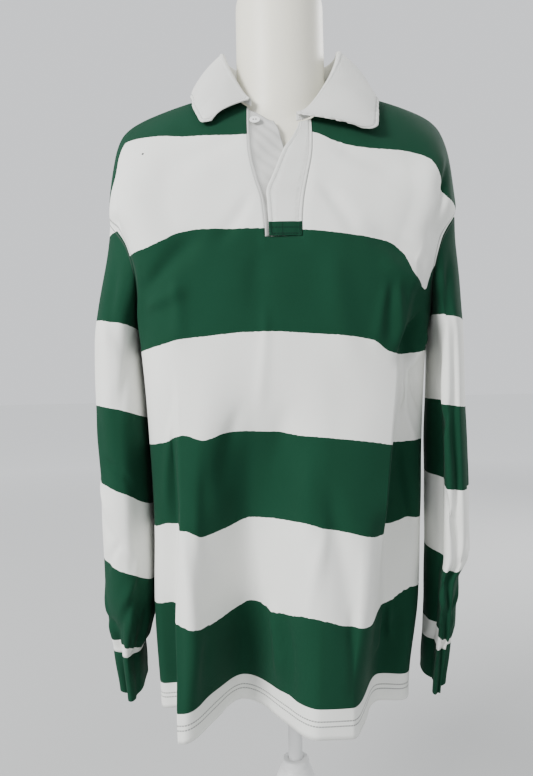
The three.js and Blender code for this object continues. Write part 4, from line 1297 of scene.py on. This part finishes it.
@dataclass(frozen=True)
class Tube:
    """A hanging sleeve with its cuff: the section that they share."""

    side: Side
    slant: float
    square: float = 2.4
    head: float = 5 / 16
    head_level: float = 780.0
    cuff_top: float = 387.0
    pinch: float = 0.75

    def section(
        self, angle: np.ndarray, z: np.ndarray, at: np.ndarray, narrow: np.ndarray
    ) -> tuple[np.ndarray, np.ndarray]:
        """Points round the sleeve or the cuff.

        Args:
            angle: how far round, in radians, from the outer side by the front.
            z: height that the folds are read at.
            at: height that the section is read at.
            narrow: how much narrower than the section.

        Returns:
            Places across and along.
        """
        table = SLEEVES[self.side.value]
        outer, inner = table.at(at, "outer"), table.at(at, "inner")
        middle, half = (outer + inner) / 2, (outer - inner) / 2 * narrow
        depth = np.where(np.sin(angle) > 0, table.at(at, "front"), table.at(at, "back"))
        inward = np.zeros_like(angle + z)
        for fold in SLEEVE_FOLDS[self.side.value]:
            away = np.abs(np.degrees(angle) - fold.angle)
            strength = ease((fold.top - z) / (fold.top - fold.full))
            shape = np.where(away < fold.reach, 0.5 + 0.5 * np.cos(np.pi * away / fold.reach), 0.0)
            inward = inward + fold.depth * strength * shape
        sine, cosine = np.sin(angle), np.cos(angle)
        across = np.sign(cosine) * np.abs(cosine) ** (2 / self.square)
        along = np.sign(sine) * np.abs(sine) ** (2 / self.square)
        shrink = np.minimum(inward, np.maximum(half * self.pinch, 1)) * cosine
        back = inward * sine - depth * narrow * along
        x = middle + half * across - shrink + self.slant * back
        return self.side.sign * x, SHIRT.seam_y + back


@dataclass(frozen=True)
class Sleeve(Cloth):
    """A sleeve, from the armhole's edge to the cuff's seam."""

    tube: Tube
    phase: float
    calm: float = 0.75
    rows: tuple[int, int] = (50, 120)
    gather: float = 1.3
    gather_start: float = 0.86
    gather_run: float = 0.12
    held_head: float = 0.25
    hem_below: float = 60.0
    half_ring: int = 65
    sheet: Sheet = Sheet((0.42, 0.56), 0.2, "front_cloth")

    def hoops(self, angle: np.ndarray, z: np.ndarray) -> np.ndarray:
        """Hoops, each of them tilted as the sleeve hangs.

        Args:
            angle: how far round, in radians, from the outer side by the front.
            z: height.

        Returns:
            Edges passed, counted on from the white hoop at the sleeve's head.
        """
        edges = []
        for outer, front, inner, back in SLEEVE_HOOPS[self.tube.side.value]:
            level = (outer + front + inner + back) / 4
            swing = (outer - inner) / 2 * np.cos(angle) + (front - back) / 2 * np.sin(angle)
            edges.append(level + swing + (outer + inner - front - back) / 4 * np.cos(2 * angle))
        return edges_passed(z, edges) + 1

    def piece(self) -> GridPiece:
        """Works out the sleeve.

        Returns:
            The sleeve.
        """
        side, head = self.tube.side, self.tube.head
        half = np.linspace(0, 1, self.half_ring)
        front, back = (SHIRT.panel(face, np.full_like(half, side.sign), half) for face in Face)
        ring = np.concatenate([front, back[-2::-1]])
        angle = np.concatenate([np.pi * half, 2 * np.pi - np.pi * half[-2::-1]])
        steps = np.concatenate([np.linspace(0, head, self.rows[0])[:-1], np.linspace(head, 1, self.rows[1])])
        blend = clamp01(steps / head)[:, None]
        below = clamp01((steps - head) / (1 - head))[:, None]
        z = mix(ring[None, :, 2], mix(self.tube.head_level, self.tube.cuff_top, below), blend)
        angles = np.repeat(angle[None, :], len(steps), axis=0)
        x, y = self.tube.section(angles, z, z, np.ones_like(z))
        settle = ease(blend)
        points = np.stack([mix(ring[None, :, 0], x, settle), mix(ring[None, :, 1], y, settle), z], -1)
        outward = points - points.mean(axis=1, keepdims=True)
        normals = grid_normals(points, True, outward)
        degrees = np.degrees(angles)
        depth = crease_field(SLEEVE_CREASES[side.value], degrees, z)
        depth = depth + unevenness(degrees * ROUND_RUN, z, self.phase)
        hold = ease(blend / self.held_head) * ease((1.0 - below) / HELD_EDGE)
        pleats = np.sin(angles * 15 + 1.3 * np.sin(angles * 4))
        gathered = ease((below - self.gather_start) / self.gather_run)
        depth = self.calm * depth + self.gather * pleats * gathered
        points = lay_creases(points, normals, depth, hold * np.ones_like(z))
        hem, seam = z - self.tube.cuff_top + self.hem_below, np.minimum(running(points, 0), FAR)
        return GridPiece(
            f"sleeve_{side.value}_cloth", points, outward, "green_cloth", (f"sleeve_{side.value}",),
            jersey_numbers(points, self.hoops(angles, z), hem, seam, degrees * ROUND_RUN),
            wraps=True, thick=WALL,
        )


@dataclass(frozen=True)
class Cuff(Cloth):
    """A knitted cuff with soft lobes."""

    tube: Tube
    front_drop: float
    back_drop: float
    lean: float
    narrow: float = 0.82
    seam: float = 0.15
    lobes: tuple[float, float] = (1.7, 0.7)
    lobe_run: float = 0.7
    hoop: float = 0.5
    ring: int = 241
    rows: int = 30

    def piece(self) -> GridPiece:
        """Works out the cuff.

        Returns:
            The cuff.
        """
        side, top = self.tube.side, self.tube.cuff_top
        angle = np.linspace(0, 2 * np.pi, self.ring)
        t = np.linspace(0, 1, self.rows)[:, None]
        angles = np.repeat(angle[None, :], len(t), axis=0)
        drop = mix(self.back_drop, self.front_drop, 0.5 + 0.5 * np.sin(angles))
        level = np.full_like(angles, top)
        narrow = mix(1.0, self.narrow, ease(t)) * np.ones_like(angles)
        x, y = self.tube.section(angles, level, level, narrow)
        points = np.stack([x + self.lean * t, y, top - self.seam - drop * t], -1)
        outward = points - points.mean(axis=1, keepdims=True)
        normals = grid_normals(points, True, outward)
        lobes = self.lobes[0] * np.sin(angles * 4 + 0.8) + self.lobes[1] * np.sin(angles * 9 + 2.1)
        points = points + normals * (lobes * ease(t / self.lobe_run))[..., None]
        far, hoop = np.full_like(angles, FAR), np.full_like(angles, self.hoop)
        return GridPiece(
            f"cuff_{side.value}_cloth", points, outward, "green_cloth", (f"cuff_{side.value}",),
            jersey_numbers(points, hoop, far, far, np.degrees(angles) * ROUND_RUN),
            wraps=True, thick=WALL,
        )

    @property
    def sheet(self) -> Sheet:
        """The cuff's cut, which hangs on its sleeve."""
        return Sheet((0.22, 0.06), 0.0125, f"sleeve_{self.tube.side.value}_cloth")


@dataclass(frozen=True)
class Collar(Cloth):
    """The turned-down collar in one piece: up the stand, over the fold and down the leaf."""

    side_share: float = 0.6
    ends: tuple[float, float] = (40.0, 16.0)
    bend: float = 3.5
    base: float = 3.0
    clear: float = 3.2
    point_cut: float = 0.2
    point_start: float = 0.93
    puff: float = 6.5
    seam: float = 4.6
    pucker: float = 0.5
    pucker_length: float = 1.9
    pucker_in: float = 4.0
    pucker_reach: float = 4.5
    groove: float = 0.7
    groove_reach: float = 1.3
    stand_rows: int = 12
    fold_rows: int = 11
    leaf_rows: int = 70
    sheet: Sheet = Sheet((0.46, 0.13), 0.055, "front_cloth")

    def piece(self) -> GridPiece:
        """Works out the collar.

        Returns:
            The collar.
        """
        place = np.linspace(-1, 1, 401)
        reach, sign = np.abs(place), np.sign(place)
        back_x = SHIRT.neck_half * np.sin(np.pi / 2 * np.clip(place / self.side_share, -1, 1))
        back_z = SHIRT.neck_top + SHIRT.nape_rise * (1 - (back_x / SHIRT.neck_half) ** 2)
        back_y = SHIRT.smooth(Face.BACK, back_x, back_z)
        end = np.where(place < 0, *(np.arccos(end / SHIRT.neck_half) for end in self.ends))
        onward = clamp01((reach - self.side_share) / (1 - self.side_share))
        front_x = sign * SHIRT.neck_half * np.cos(end * onward)
        front_z = SHIRT.neckline(front_x)
        front_y = SHIRT.smooth(Face.FRONT, front_x, front_z)
        on_back = reach <= self.side_share
        pairs = ((back_x, front_x), (back_y, front_y), (back_z, front_z))
        base = np.stack([np.where(on_back, back, front) for back, front in pairs], -1)
        outward = np.stack([base[:, 0], base[:, 1] - SHIRT.seam_y, np.zeros(len(base))], -1)
        outward /= np.linalg.norm(outward, axis=-1, keepdims=True)
        up = np.array([0.0, 0.0, 1.0])
        lean, rise = COLLAR.at(place, "lean")[:, None], COLLAR.at(place, "rise")[:, None]
        start = base - outward * TRIM_WALL + up * self.base
        rows = []
        for t in np.linspace(0, 1, self.stand_rows + 1)[:-1]:
            rows.append(start + outward * (lean - self.bend) * ease(t) + up * (rise - self.bend) * t)
        centre = start + outward * lean + up * (rise - self.bend)
        for turn in np.linspace(0, np.pi, self.fold_rows):
            rows.append(centre - outward * self.bend * np.cos(turn) + up * self.bend * np.sin(turn))
        fold = rows[-1]
        edge, edge_normal = SHIRT.under(COLLAR.at(place, "edge_x"), COLLAR.at(place, "edge_y"))
        edge = edge + edge_normal * (self.clear + COLLAR.at(place, "lift"))[:, None]
        reached = 1 - self.point_cut * clamp01((reach - self.point_start) / (1 - self.point_start)) ** 2
        for t in np.linspace(0, 1, self.leaf_rows + 1)[1:]:
            point = mix(fold, edge, (t * reached)[:, None])
            puff = self.puff * np.sin(np.pi * t) ** 0.8 * ease(reach / 0.5)
            point = point + outward * puff[:, None]
            under, normal = SHIRT.under(point[:, 0], point[:, 1])
            stands = np.sum((point - under) * normal, axis=-1)
            rows.append(point + normal * np.maximum(0.0, self.clear - stands)[:, None])
        points = np.stack(rows)
        leaf_out = np.stack([outward] * len(rows))
        turned = self.stand_rows + self.fold_rows
        leaf_out[: self.stand_rows] *= -1
        leaf_out[self.stand_rows : turned] = up
        normals = grid_normals(points, False, leaf_out)
        leaf = clamp01((np.arange(len(rows)) - turned) / (self.leaf_rows - 1))[:, None]
        wave = 1.5 * np.sin(place * 9 + 0.6 + leaf) + 0.8 * np.sin(place * 23 + leaf * 3)
        wave = wave + 0.5 * np.sin(place * 41 - leaf * 5 + 1.2)
        points = points + normals * (np.abs(wave) * leaf * ease(reach[None, :] / 0.3))[..., None]
        below = running(points, 0)
        sideways = running(points, 1)
        rim = np.minimum(below[-1:] - below, np.minimum(sideways, sideways[:, -1:] - sideways))
        pucker = np.sin(sideways / self.pucker_length + 1.3 * np.sin(sideways / 11))
        pucker = pucker * np.exp(-(((rim - self.pucker_in) / self.pucker_reach) ** 2))
        groove = self.groove * np.exp(-(((rim - self.seam) / self.groove_reach) ** 2))
        points = points + normals * ((self.pucker * pucker - groove) * (leaf > 0))[..., None]
        return GridPiece(
            "collar_cloth", points, leaf_out, "white_twill", ("collar",),
            {"rim": rim, "across": sideways, "down": below}, thick=TRIM_WALL,
        )

    def finish(self) -> bpy.types.Material:
        """The collar's twill."""
        return Twill("collar_twill", self.seam).material()


class Strip(Enum):
    """The two strips of the placket."""

    OVER = "over"
    UNDER = "under"


@dataclass(frozen=True)
class Placket(Cloth):
    """A placket strip that lies along the slit."""

    strip: Strip
    lift: float = 0.9
    sink: float = 2.8
    stitch_in: float = 4.5
    seams: tuple[float, float] = (0.86, 0.14)
    seam_reach: float = 0.05
    sheet: Sheet = Sheet((0.042, 0.17), 0.0068, "front_cloth")

    def piece(self) -> GridPiece:
        """Works out the strip.

        Returns:
            The strip.
        """
        over, name = self.strip is Strip.OVER, self.strip.value
        t = np.linspace(0, 1, 25)[None, :]
        down = np.linspace(0.004, 1 - 0.002, 90)[:, None]
        middle = SHIRT.panel(Face.FRONT, np.zeros_like(down), down)[..., 2]
        left, right = SHIRT.slit.at(middle, "left"), SHIRT.slit.at(middle, "right")
        free = STRIPS.at(middle, "over" if over else "under")
        x = mix(free, right, t) if over else mix(left, free, t)
        share = mix(-SHIRT.slit_share, SHIRT.slit_share, (x - left) / (right - left))
        downs = down * np.ones_like(share)
        points = SHIRT.panel(Face.FRONT, share, downs)
        outward = np.zeros_like(points)
        outward[..., 1] = -1
        normals = grid_normals(points, False, outward)
        lift = self.lift if over else -self.sink * ease(t * 6)
        if over:
            seam = sum(np.exp(-(((t - at) / self.seam_reach) ** 2)) for at in self.seams)
            lift = lift + 0.9 * (1 - t) + 0.6 * np.sin(downs * 21 + t * 2) * (1 - t) - 0.55 * seam
            lift = lift + 0.3 * np.sin(downs * 90 + 2 * np.sin(downs * 17)) * seam
        else:
            lift = lift + (1.1 * np.sin(downs * 23 + t * 6) + 0.5 * np.sin(downs * 51 - t * 9)) * ease(t * 3)
        points = points + normals * (lift * np.ones_like(share))[..., None]
        below, sideways = running(points, 0), running(points, 1)
        rim = np.minimum(sideways, sideways[:, -1:] - sideways) if over else sideways
        rim = np.minimum(rim, below[-1:] - below)
        numbers = {"rim": rim, "across": sideways, "down": below, "foot": below[-1:] - below}
        return GridPiece(
            f"placket_{name}_cloth", points, outward, "white_twill", (f"placket_{name}",), numbers,
            thick=TRIM_WALL,
        )

    def finish(self) -> bpy.types.Material:
        """The strip's twill, which on the under strip is darker with painted shade, as it lies back behind
        the over strip.
        """
        over = self.strip is Strip.OVER
        # The under strip takes the darker white: painted shade for its place behind the over strip.
        tones = WHITE if over else PAINTED_SHADE_WHITE
        return Twill(f"placket_twill_{self.strip.value}", self.stitch_in, tones, footed=over).material()


@dataclass(frozen=True)
class Button:
    """The two-hole button on the under placket."""

    radius: float = 6.5
    steps: tuple[tuple[float, float], ...] = (
        (0.00005, 0.0006), (0.0004, 0.0011), (0.0007, 0.0002), (0.0012, -0.0007), (0.0002, -0.0002),
    )
    hole: float = 0.0009
    hole_out: float = 0.0016
    hole_up: float = 0.00125
    hole_deep: float = 0.0004
    hole_span: float = 0.0011
    hole_reach: float = 0.0028
    hole_corners: int = 20
    gloss: Smooth = Smooth("button_gloss", (0.82, 0.82, 0.8), (0.76, 0.76, 0.74), 0.25)
    inside: Smooth = Smooth("button_hole", (0.1, 0.1, 0.1), (0.05, 0.05, 0.05), 0.6)

    def looks(self) -> Vector:
        """Which way the button looks, from the solid's own flat face.

        Returns:
            A unit vector.
        """
        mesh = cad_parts["neck_button"].data
        normal = max(mesh.polygons, key=lambda polygon: polygon.area).normal.copy()
        return normal if normal.y < 0 else -normal

    def in_hole(self, face: bmesh.types.BMFace) -> bool:
        """Whether a face belongs to one of the dark holes."""
        spot = face.calc_center_median()
        near = abs(abs(spot.x) - self.hole_out) < self.hole_span and math.hypot(*spot.xy) < self.hole_reach
        return near and len(face.verts) <= self.hole_corners

    def build(self) -> None:
        """Builds and dresses the button."""
        low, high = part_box("neck_button")
        shell = bmesh.new()
        bmesh.ops.create_circle(shell, cap_ends=True, cap_tris=False, segments=48, radius=self.radius * MM)
        disc = shell.faces[:]
        for inset, lift in self.steps:
            bmesh.ops.inset_region(shell, faces=disc, thickness=inset, depth=0.0)
            for vert in {vert for face in disc for vert in face.verts}:
                vert.co.z += lift
        for side in Side:
            bmesh.ops.create_cone(
                shell, cap_ends=True, segments=self.hole_corners, radius1=self.hole, radius2=self.hole,
                depth=self.hole_deep,
                matrix=Matrix.Translation((side.sign * self.hole_out, 0, self.hole_up)),
            )
        for face in shell.faces:
            face.material_index = int(self.in_hole(face))
        turn = Vector((0, 0, 1)).rotation_difference(self.looks()).to_matrix().to_4x4()
        place = Matrix.Translation((low + high) / 2)
        bmesh.ops.transform(shell, matrix=place @ turn, verts=shell.verts[:])
        piece = new_object("button_on_placket", shell, self.gloss.material(), self.inside.material())
        fit(piece, ("neck_button",))


def lathe_piece(
    name: str, profile: tuple[tuple[float, float], ...], y: float, slot: str, nodes: tuple[str, ...]
) -> GridPiece:
    """A turned piece with its corners rounded off.

    Args:
        name: the piece's name.
        profile: radius and height of each corner.
        y: where the axis stands along Y.
        slot: the name of a material slot; it is kept with the piece but not used.
        nodes: the solids that it stands for.

    Returns:
        The piece.
    """
    corners = np.array(profile, float)
    rounded = [corners[0]]
    for before, corner, after in zip(corners[:-2], corners[1:-1], corners[2:]):
        size = min(1.6, 0.45 * np.linalg.norm(corner - before), 0.45 * np.linalg.norm(after - corner))
        first = corner + (before - corner) / max(np.linalg.norm(before - corner), 1e-6) * size
        last = corner + (after - corner) / max(np.linalg.norm(after - corner), 1e-6) * size
        for t in (0, 0.25, 0.5, 0.75, 1):
            rounded.append((1 - t) ** 2 * first + 2 * t * (1 - t) * corner + t**2 * last)
    rounded.append(corners[-1])
    ring = np.linspace(0, 2 * np.pi, 97)
    radius, height = (np.array(rounded)[:, k][:, None] for k in (0, 1))
    points = np.stack(
        [radius * np.cos(ring), y + radius * np.sin(ring), height * np.ones_like(ring)], -1
    )
    outward = points - np.array([0.0, y, 0.0])
    outward[..., 2] = 0
    outward[..., 2] += np.where(height > height.mean(), 1.0, -1.0) * 0.2
    return GridPiece(name, points, outward, slot, nodes, wraps=True)


@dataclass(frozen=True)
class Form:
    """The limbless torso and its neck, as one smooth body."""

    neck: tuple[tuple[float, float], ...] = (
        (0, 1010), (40, 1012), (56, 1020), (61, 1040), (62, 1085), (60.5, 1110), (59, 1135), (58.7, 1190),
        (58.5, 1230), (57.6, 1237), (55, 1242.5), (50, 1246.5), (42, 1249.4), (28, 1251.3), (0, 1252),
    )
    foot_levels: tuple[float, ...] = (440, 440.6, 442, 446)
    foot_insets: tuple[float, ...] = (60, 8, 4, 1)
    drop: float = 4.4
    tip: float = 1055.0
    slit_room: float = 6.0
    slit_reach: float = 24.0
    nape_room: float = 8.5
    nape_reach: float = 55.0
    voxel: float = 0.0032
    soften_all: int = 4
    soften_root: int = 26
    root_span: tuple[float, float] = (1.035, 1.135)
    root_reach: float = 0.1
    skin: Smooth = Smooth("form_plastic", (0.80, 0.775, 0.66), (0.755, 0.73, 0.62), 0.42)

    def torso(self) -> GridPiece:
        """Works out the torso.

        Returns:
            The torso.
        """
        upper, lower = np.linspace(1042, 1116, 44), np.linspace(452, 1040, 90)
        levels = np.concatenate([self.foot_levels, lower, upper])
        inset = np.concatenate([self.foot_insets, np.zeros(len(lower) + len(upper))])[:, None]
        ring = np.linspace(0, 2 * np.pi, 145)
        z = levels[:, None] * np.ones_like(ring)
        sine, cosine = np.sin(ring), np.cos(ring)
        level = z + self.drop
        shoulder = by_side(
            sine, SHIRT.shoulder.at(level, "left", key="z"), SHIRT.shoulder.at(level, "right", key="z")
        )
        half = np.minimum(FORM.at(z, "half"), np.where(z > self.tip, shoulder - SEAT, 1e3)) - inset
        x = half * sine
        depths = []
        rooms = ((Face.FRONT, self.slit_room, self.slit_reach), (Face.BACK, self.nape_room, self.nape_reach))
        for face, room, reach in rooms:
            square = FORM.at(z, "square")
            rounding = (1 - np.minimum(1, np.abs(x) / half) ** square) ** (1 / square)
            clear = room * ease((SHIRT.neck_half + reach - np.abs(x)) / reach)
            cloth = np.abs(SHIRT.smooth(face, x, z + self.drop) - SHIRT.seam_y) - WALL - SEAT - clear
            depths.append(np.maximum(0, np.minimum(FORM.at(z, face.value) * rounding, cloth)))
        depth = np.where(cosine >= 0, -depths[0], depths[1])
        depth = np.sign(depth) * np.maximum(0, np.abs(depth) - inset)
        points = np.stack([x, SHIRT.seam_y + depth, z], -1)
        outward = points - points.mean(axis=1, keepdims=True)
        return GridPiece("form_torso", points, outward, "form_cream", ("form",), wraps=True)

    def one_skin(self) -> bpy.types.Mesh:
        """Joins the torso and the neck under one even skin.

        Returns:
            The skin's mesh.
        """
        body = bmesh.new()
        for part in (self.torso(), lathe_piece("form_neck", self.neck, SHIRT.seam_y, "form_cream", ())):
            part.add_to(body)
        rough = new_object("form_rough", body)
        skin_over = rough.modifiers.new("one_skin", "REMESH")
        skin_over.mode = "VOXEL"
        skin_over.voxel_size = self.voxel
        graph = bpy.context.evaluated_depsgraph_get()
        whole = bpy.data.meshes.new_from_object(rough.evaluated_get(graph))
        bpy.data.meshes.remove(rough.data)
        return whole

    def soften(self, body: bmesh.types.BMesh, verts: list[bmesh.types.BMVert], times: int) -> None:
        """Smooths some corners of a mesh a number of times."""
        for _ in range(times):
            bmesh.ops.smooth_vert(
                body, verts=verts, factor=0.5, use_axis_x=True, use_axis_y=True, use_axis_z=True
            )

    def build(self) -> None:
        """Builds the form, smooth all over and most of all where the neck grows out of the torso."""
        whole = self.one_skin()
        body = bmesh.new()
        body.from_mesh(whole)
        bpy.data.meshes.remove(whole)
        self.soften(body, body.verts[:], self.soften_all)
        low, high = self.root_span
        root = [vert for vert in body.verts if low < vert.co.z < high
                and math.hypot(*vert.co.xy) < self.root_reach]
        self.soften(body, root, self.soften_root)
        fit(new_object("form_body", body, self.skin.material()), ("form",))


@dataclass(frozen=True)
class Stand:
    """The pole, hub, column and round base, by radius and height."""

    pole: tuple[tuple[float, float], ...] = ((0, 160), (9.5, 160), (9.5, 439.6), (0, 439.6))
    hub: tuple[tuple[float, float], ...] = (
        (0, 128.2), (17, 128.2), (17, 158), (26, 170), (26, 202), (20, 216), (18, 218), (18, 226),
        (16, 228), (9.6, 228), (9.6, 220), (0, 220),
    )
    column: tuple[tuple[float, float], ...] = ((0, 22.3), (15, 22.3), (15, 127.7), (0, 127.7))
    base: tuple[tuple[float, float], ...] = (
        (0, 0), (182, 0), (185, 3), (185, 6), (182, 9), (34, 20), (26, 22), (0, 22),
    )
    paint: Smooth = Smooth("stand_paint", (0.78, 0.785, 0.78), (0.7, 0.705, 0.7), 0.34)

    def build(self) -> None:
        """Builds and dresses the turned pieces."""
        paint = self.paint.material()
        for name in ("pole", "hub", "column", "base"):
            piece = lathe_piece(f"{name}_turned", getattr(self, name), 0.0, "stand_white", (name,))
            piece.build(paint)


@dataclass(frozen=True)
class Studio:
    """The plain room: its floor, its light and its camera. Lengths here are in metres."""

    floor_half: float = 40.0
    floor_sunk: float = 0.0005
    # Floor tones for painted light: darker near the stand, paler far off.
    near: Colour = (0.46, 0.465, 0.46)
    far: Colour = (0.93, 0.935, 0.93)
    air: Colour = (0.95, 0.97, 1.0)
    brightness: float = 1.02
    lamps: tuple[tuple[str, tuple[float, float, float], float, float], ...] = (
        ("key", (-2.2, -2.0, 2.1), 1.0, 158),
        ("back_light", (1.9, 1.6, 2.2), 1.2, 60),
    )
    aim: tuple[float, float, float] = (0.0, 0.0, 0.8)
    sensor: float = 36.0
    lens: float = 36 * 650 / 776
    roll: float = 0.0222
    eye: tuple[float, float, float] = (-0.028, -0.87, 0.722)

    def build(self) -> None:
        """Builds the room."""
        self.build_camera()
        self.build_lights()
        self.build_floor()

    def build_camera(self) -> None:
        """Places the camera level in front of the shirt, with the photograph's slight roll."""
        data = bpy.data.cameras.new("camera")
        data.lens, data.sensor_width = self.lens, self.sensor
        data.dof.use_dof = False
        camera = bpy.data.objects.new("camera", data)
        roll, (x, y, z) = math.atan(self.roll), self.eye
        cosine, sine = math.cos(roll), math.sin(roll)
        rows = ((cosine, sine, 0.0, x), (0.0, 0.0, -1.0, y), (-sine, cosine, 0.0, z), (0.0, 0.0, 0.0, 1.0))
        camera.matrix_world = Matrix(rows)
        bpy.context.scene.collection.objects.link(camera)
        bpy.context.scene.camera = camera

    def build_lights(self) -> None:
        """Sets the soft light of a bright room, with square lamps that look at the shirt."""
        world = bpy.data.worlds.new("room")
        world.use_nodes = True
        background = world.node_tree.nodes["Background"]
        background.inputs["Color"].default_value = (*self.air, 1.0)
        background.inputs["Strength"].default_value = self.brightness
        bpy.context.scene.world = world
        for name, place, size, power in self.lamps:
            data = bpy.data.lights.new(name, "AREA")
            data.size, data.energy = size, power
            lamp = bpy.data.objects.new(name, data)
            lamp.location = place
            aim = Vector(self.aim) - Vector(place)
            lamp.rotation_euler = aim.to_track_quat("-Z", "Y").to_euler()
            bpy.context.scene.collection.objects.link(lamp)

    def build_floor(self) -> None:
        """Builds the plain pale floor, with painted light: darker near the stand and paler towards the
        room's tone in the distance.
        """
        shell = bmesh.new()
        bmesh.ops.create_grid(shell, x_segments=2, y_segments=2, size=self.floor_half)
        for vert in shell.verts:
            vert.co.z = -self.floor_sunk
        paper = Shader("floor_paper", 0.95)
        x, y, _ = paper.place()
        # Painted light: the floor pales with distance from the stand, so that the far floor meets the bright
        # room without a horizon.
        tone = (((x * x + y * y).root() - 0.6) * 0.2).held()
        paper.surface_input(Base_Color=paper.blend(tone, self.near, self.far))
        new_object("floor", shell, paper.material)


def build_shirt() -> None:
    """Builds every piece of the shirt."""
    jersey = Jersey().material()
    for panel in (BodyPanel(Face.FRONT, 0.4), BodyPanel(Face.BACK, 2.2)):
        panel.build(jersey)
    left, right = Tube(Side.LEFT, 0.1), Tube(Side.RIGHT, 0.16)
    for part in (
        Sleeve(left, 1.1), Cuff(left, 60.0, 38.0, 4.0), Sleeve(right, 3.7), Cuff(right, 60.0, 40.0, -5.0),
    ):
        part.build(jersey)
    for trim in (Collar(), Placket(Strip.OVER), Placket(Strip.UNDER)):
        trim.build(trim.finish())
    Button().build()


def main() -> None:
    """Builds everything."""
    Studio().build()
    Form().build()
    Stand().build()
    build_shirt()


if __name__ == "__main__":
    main()
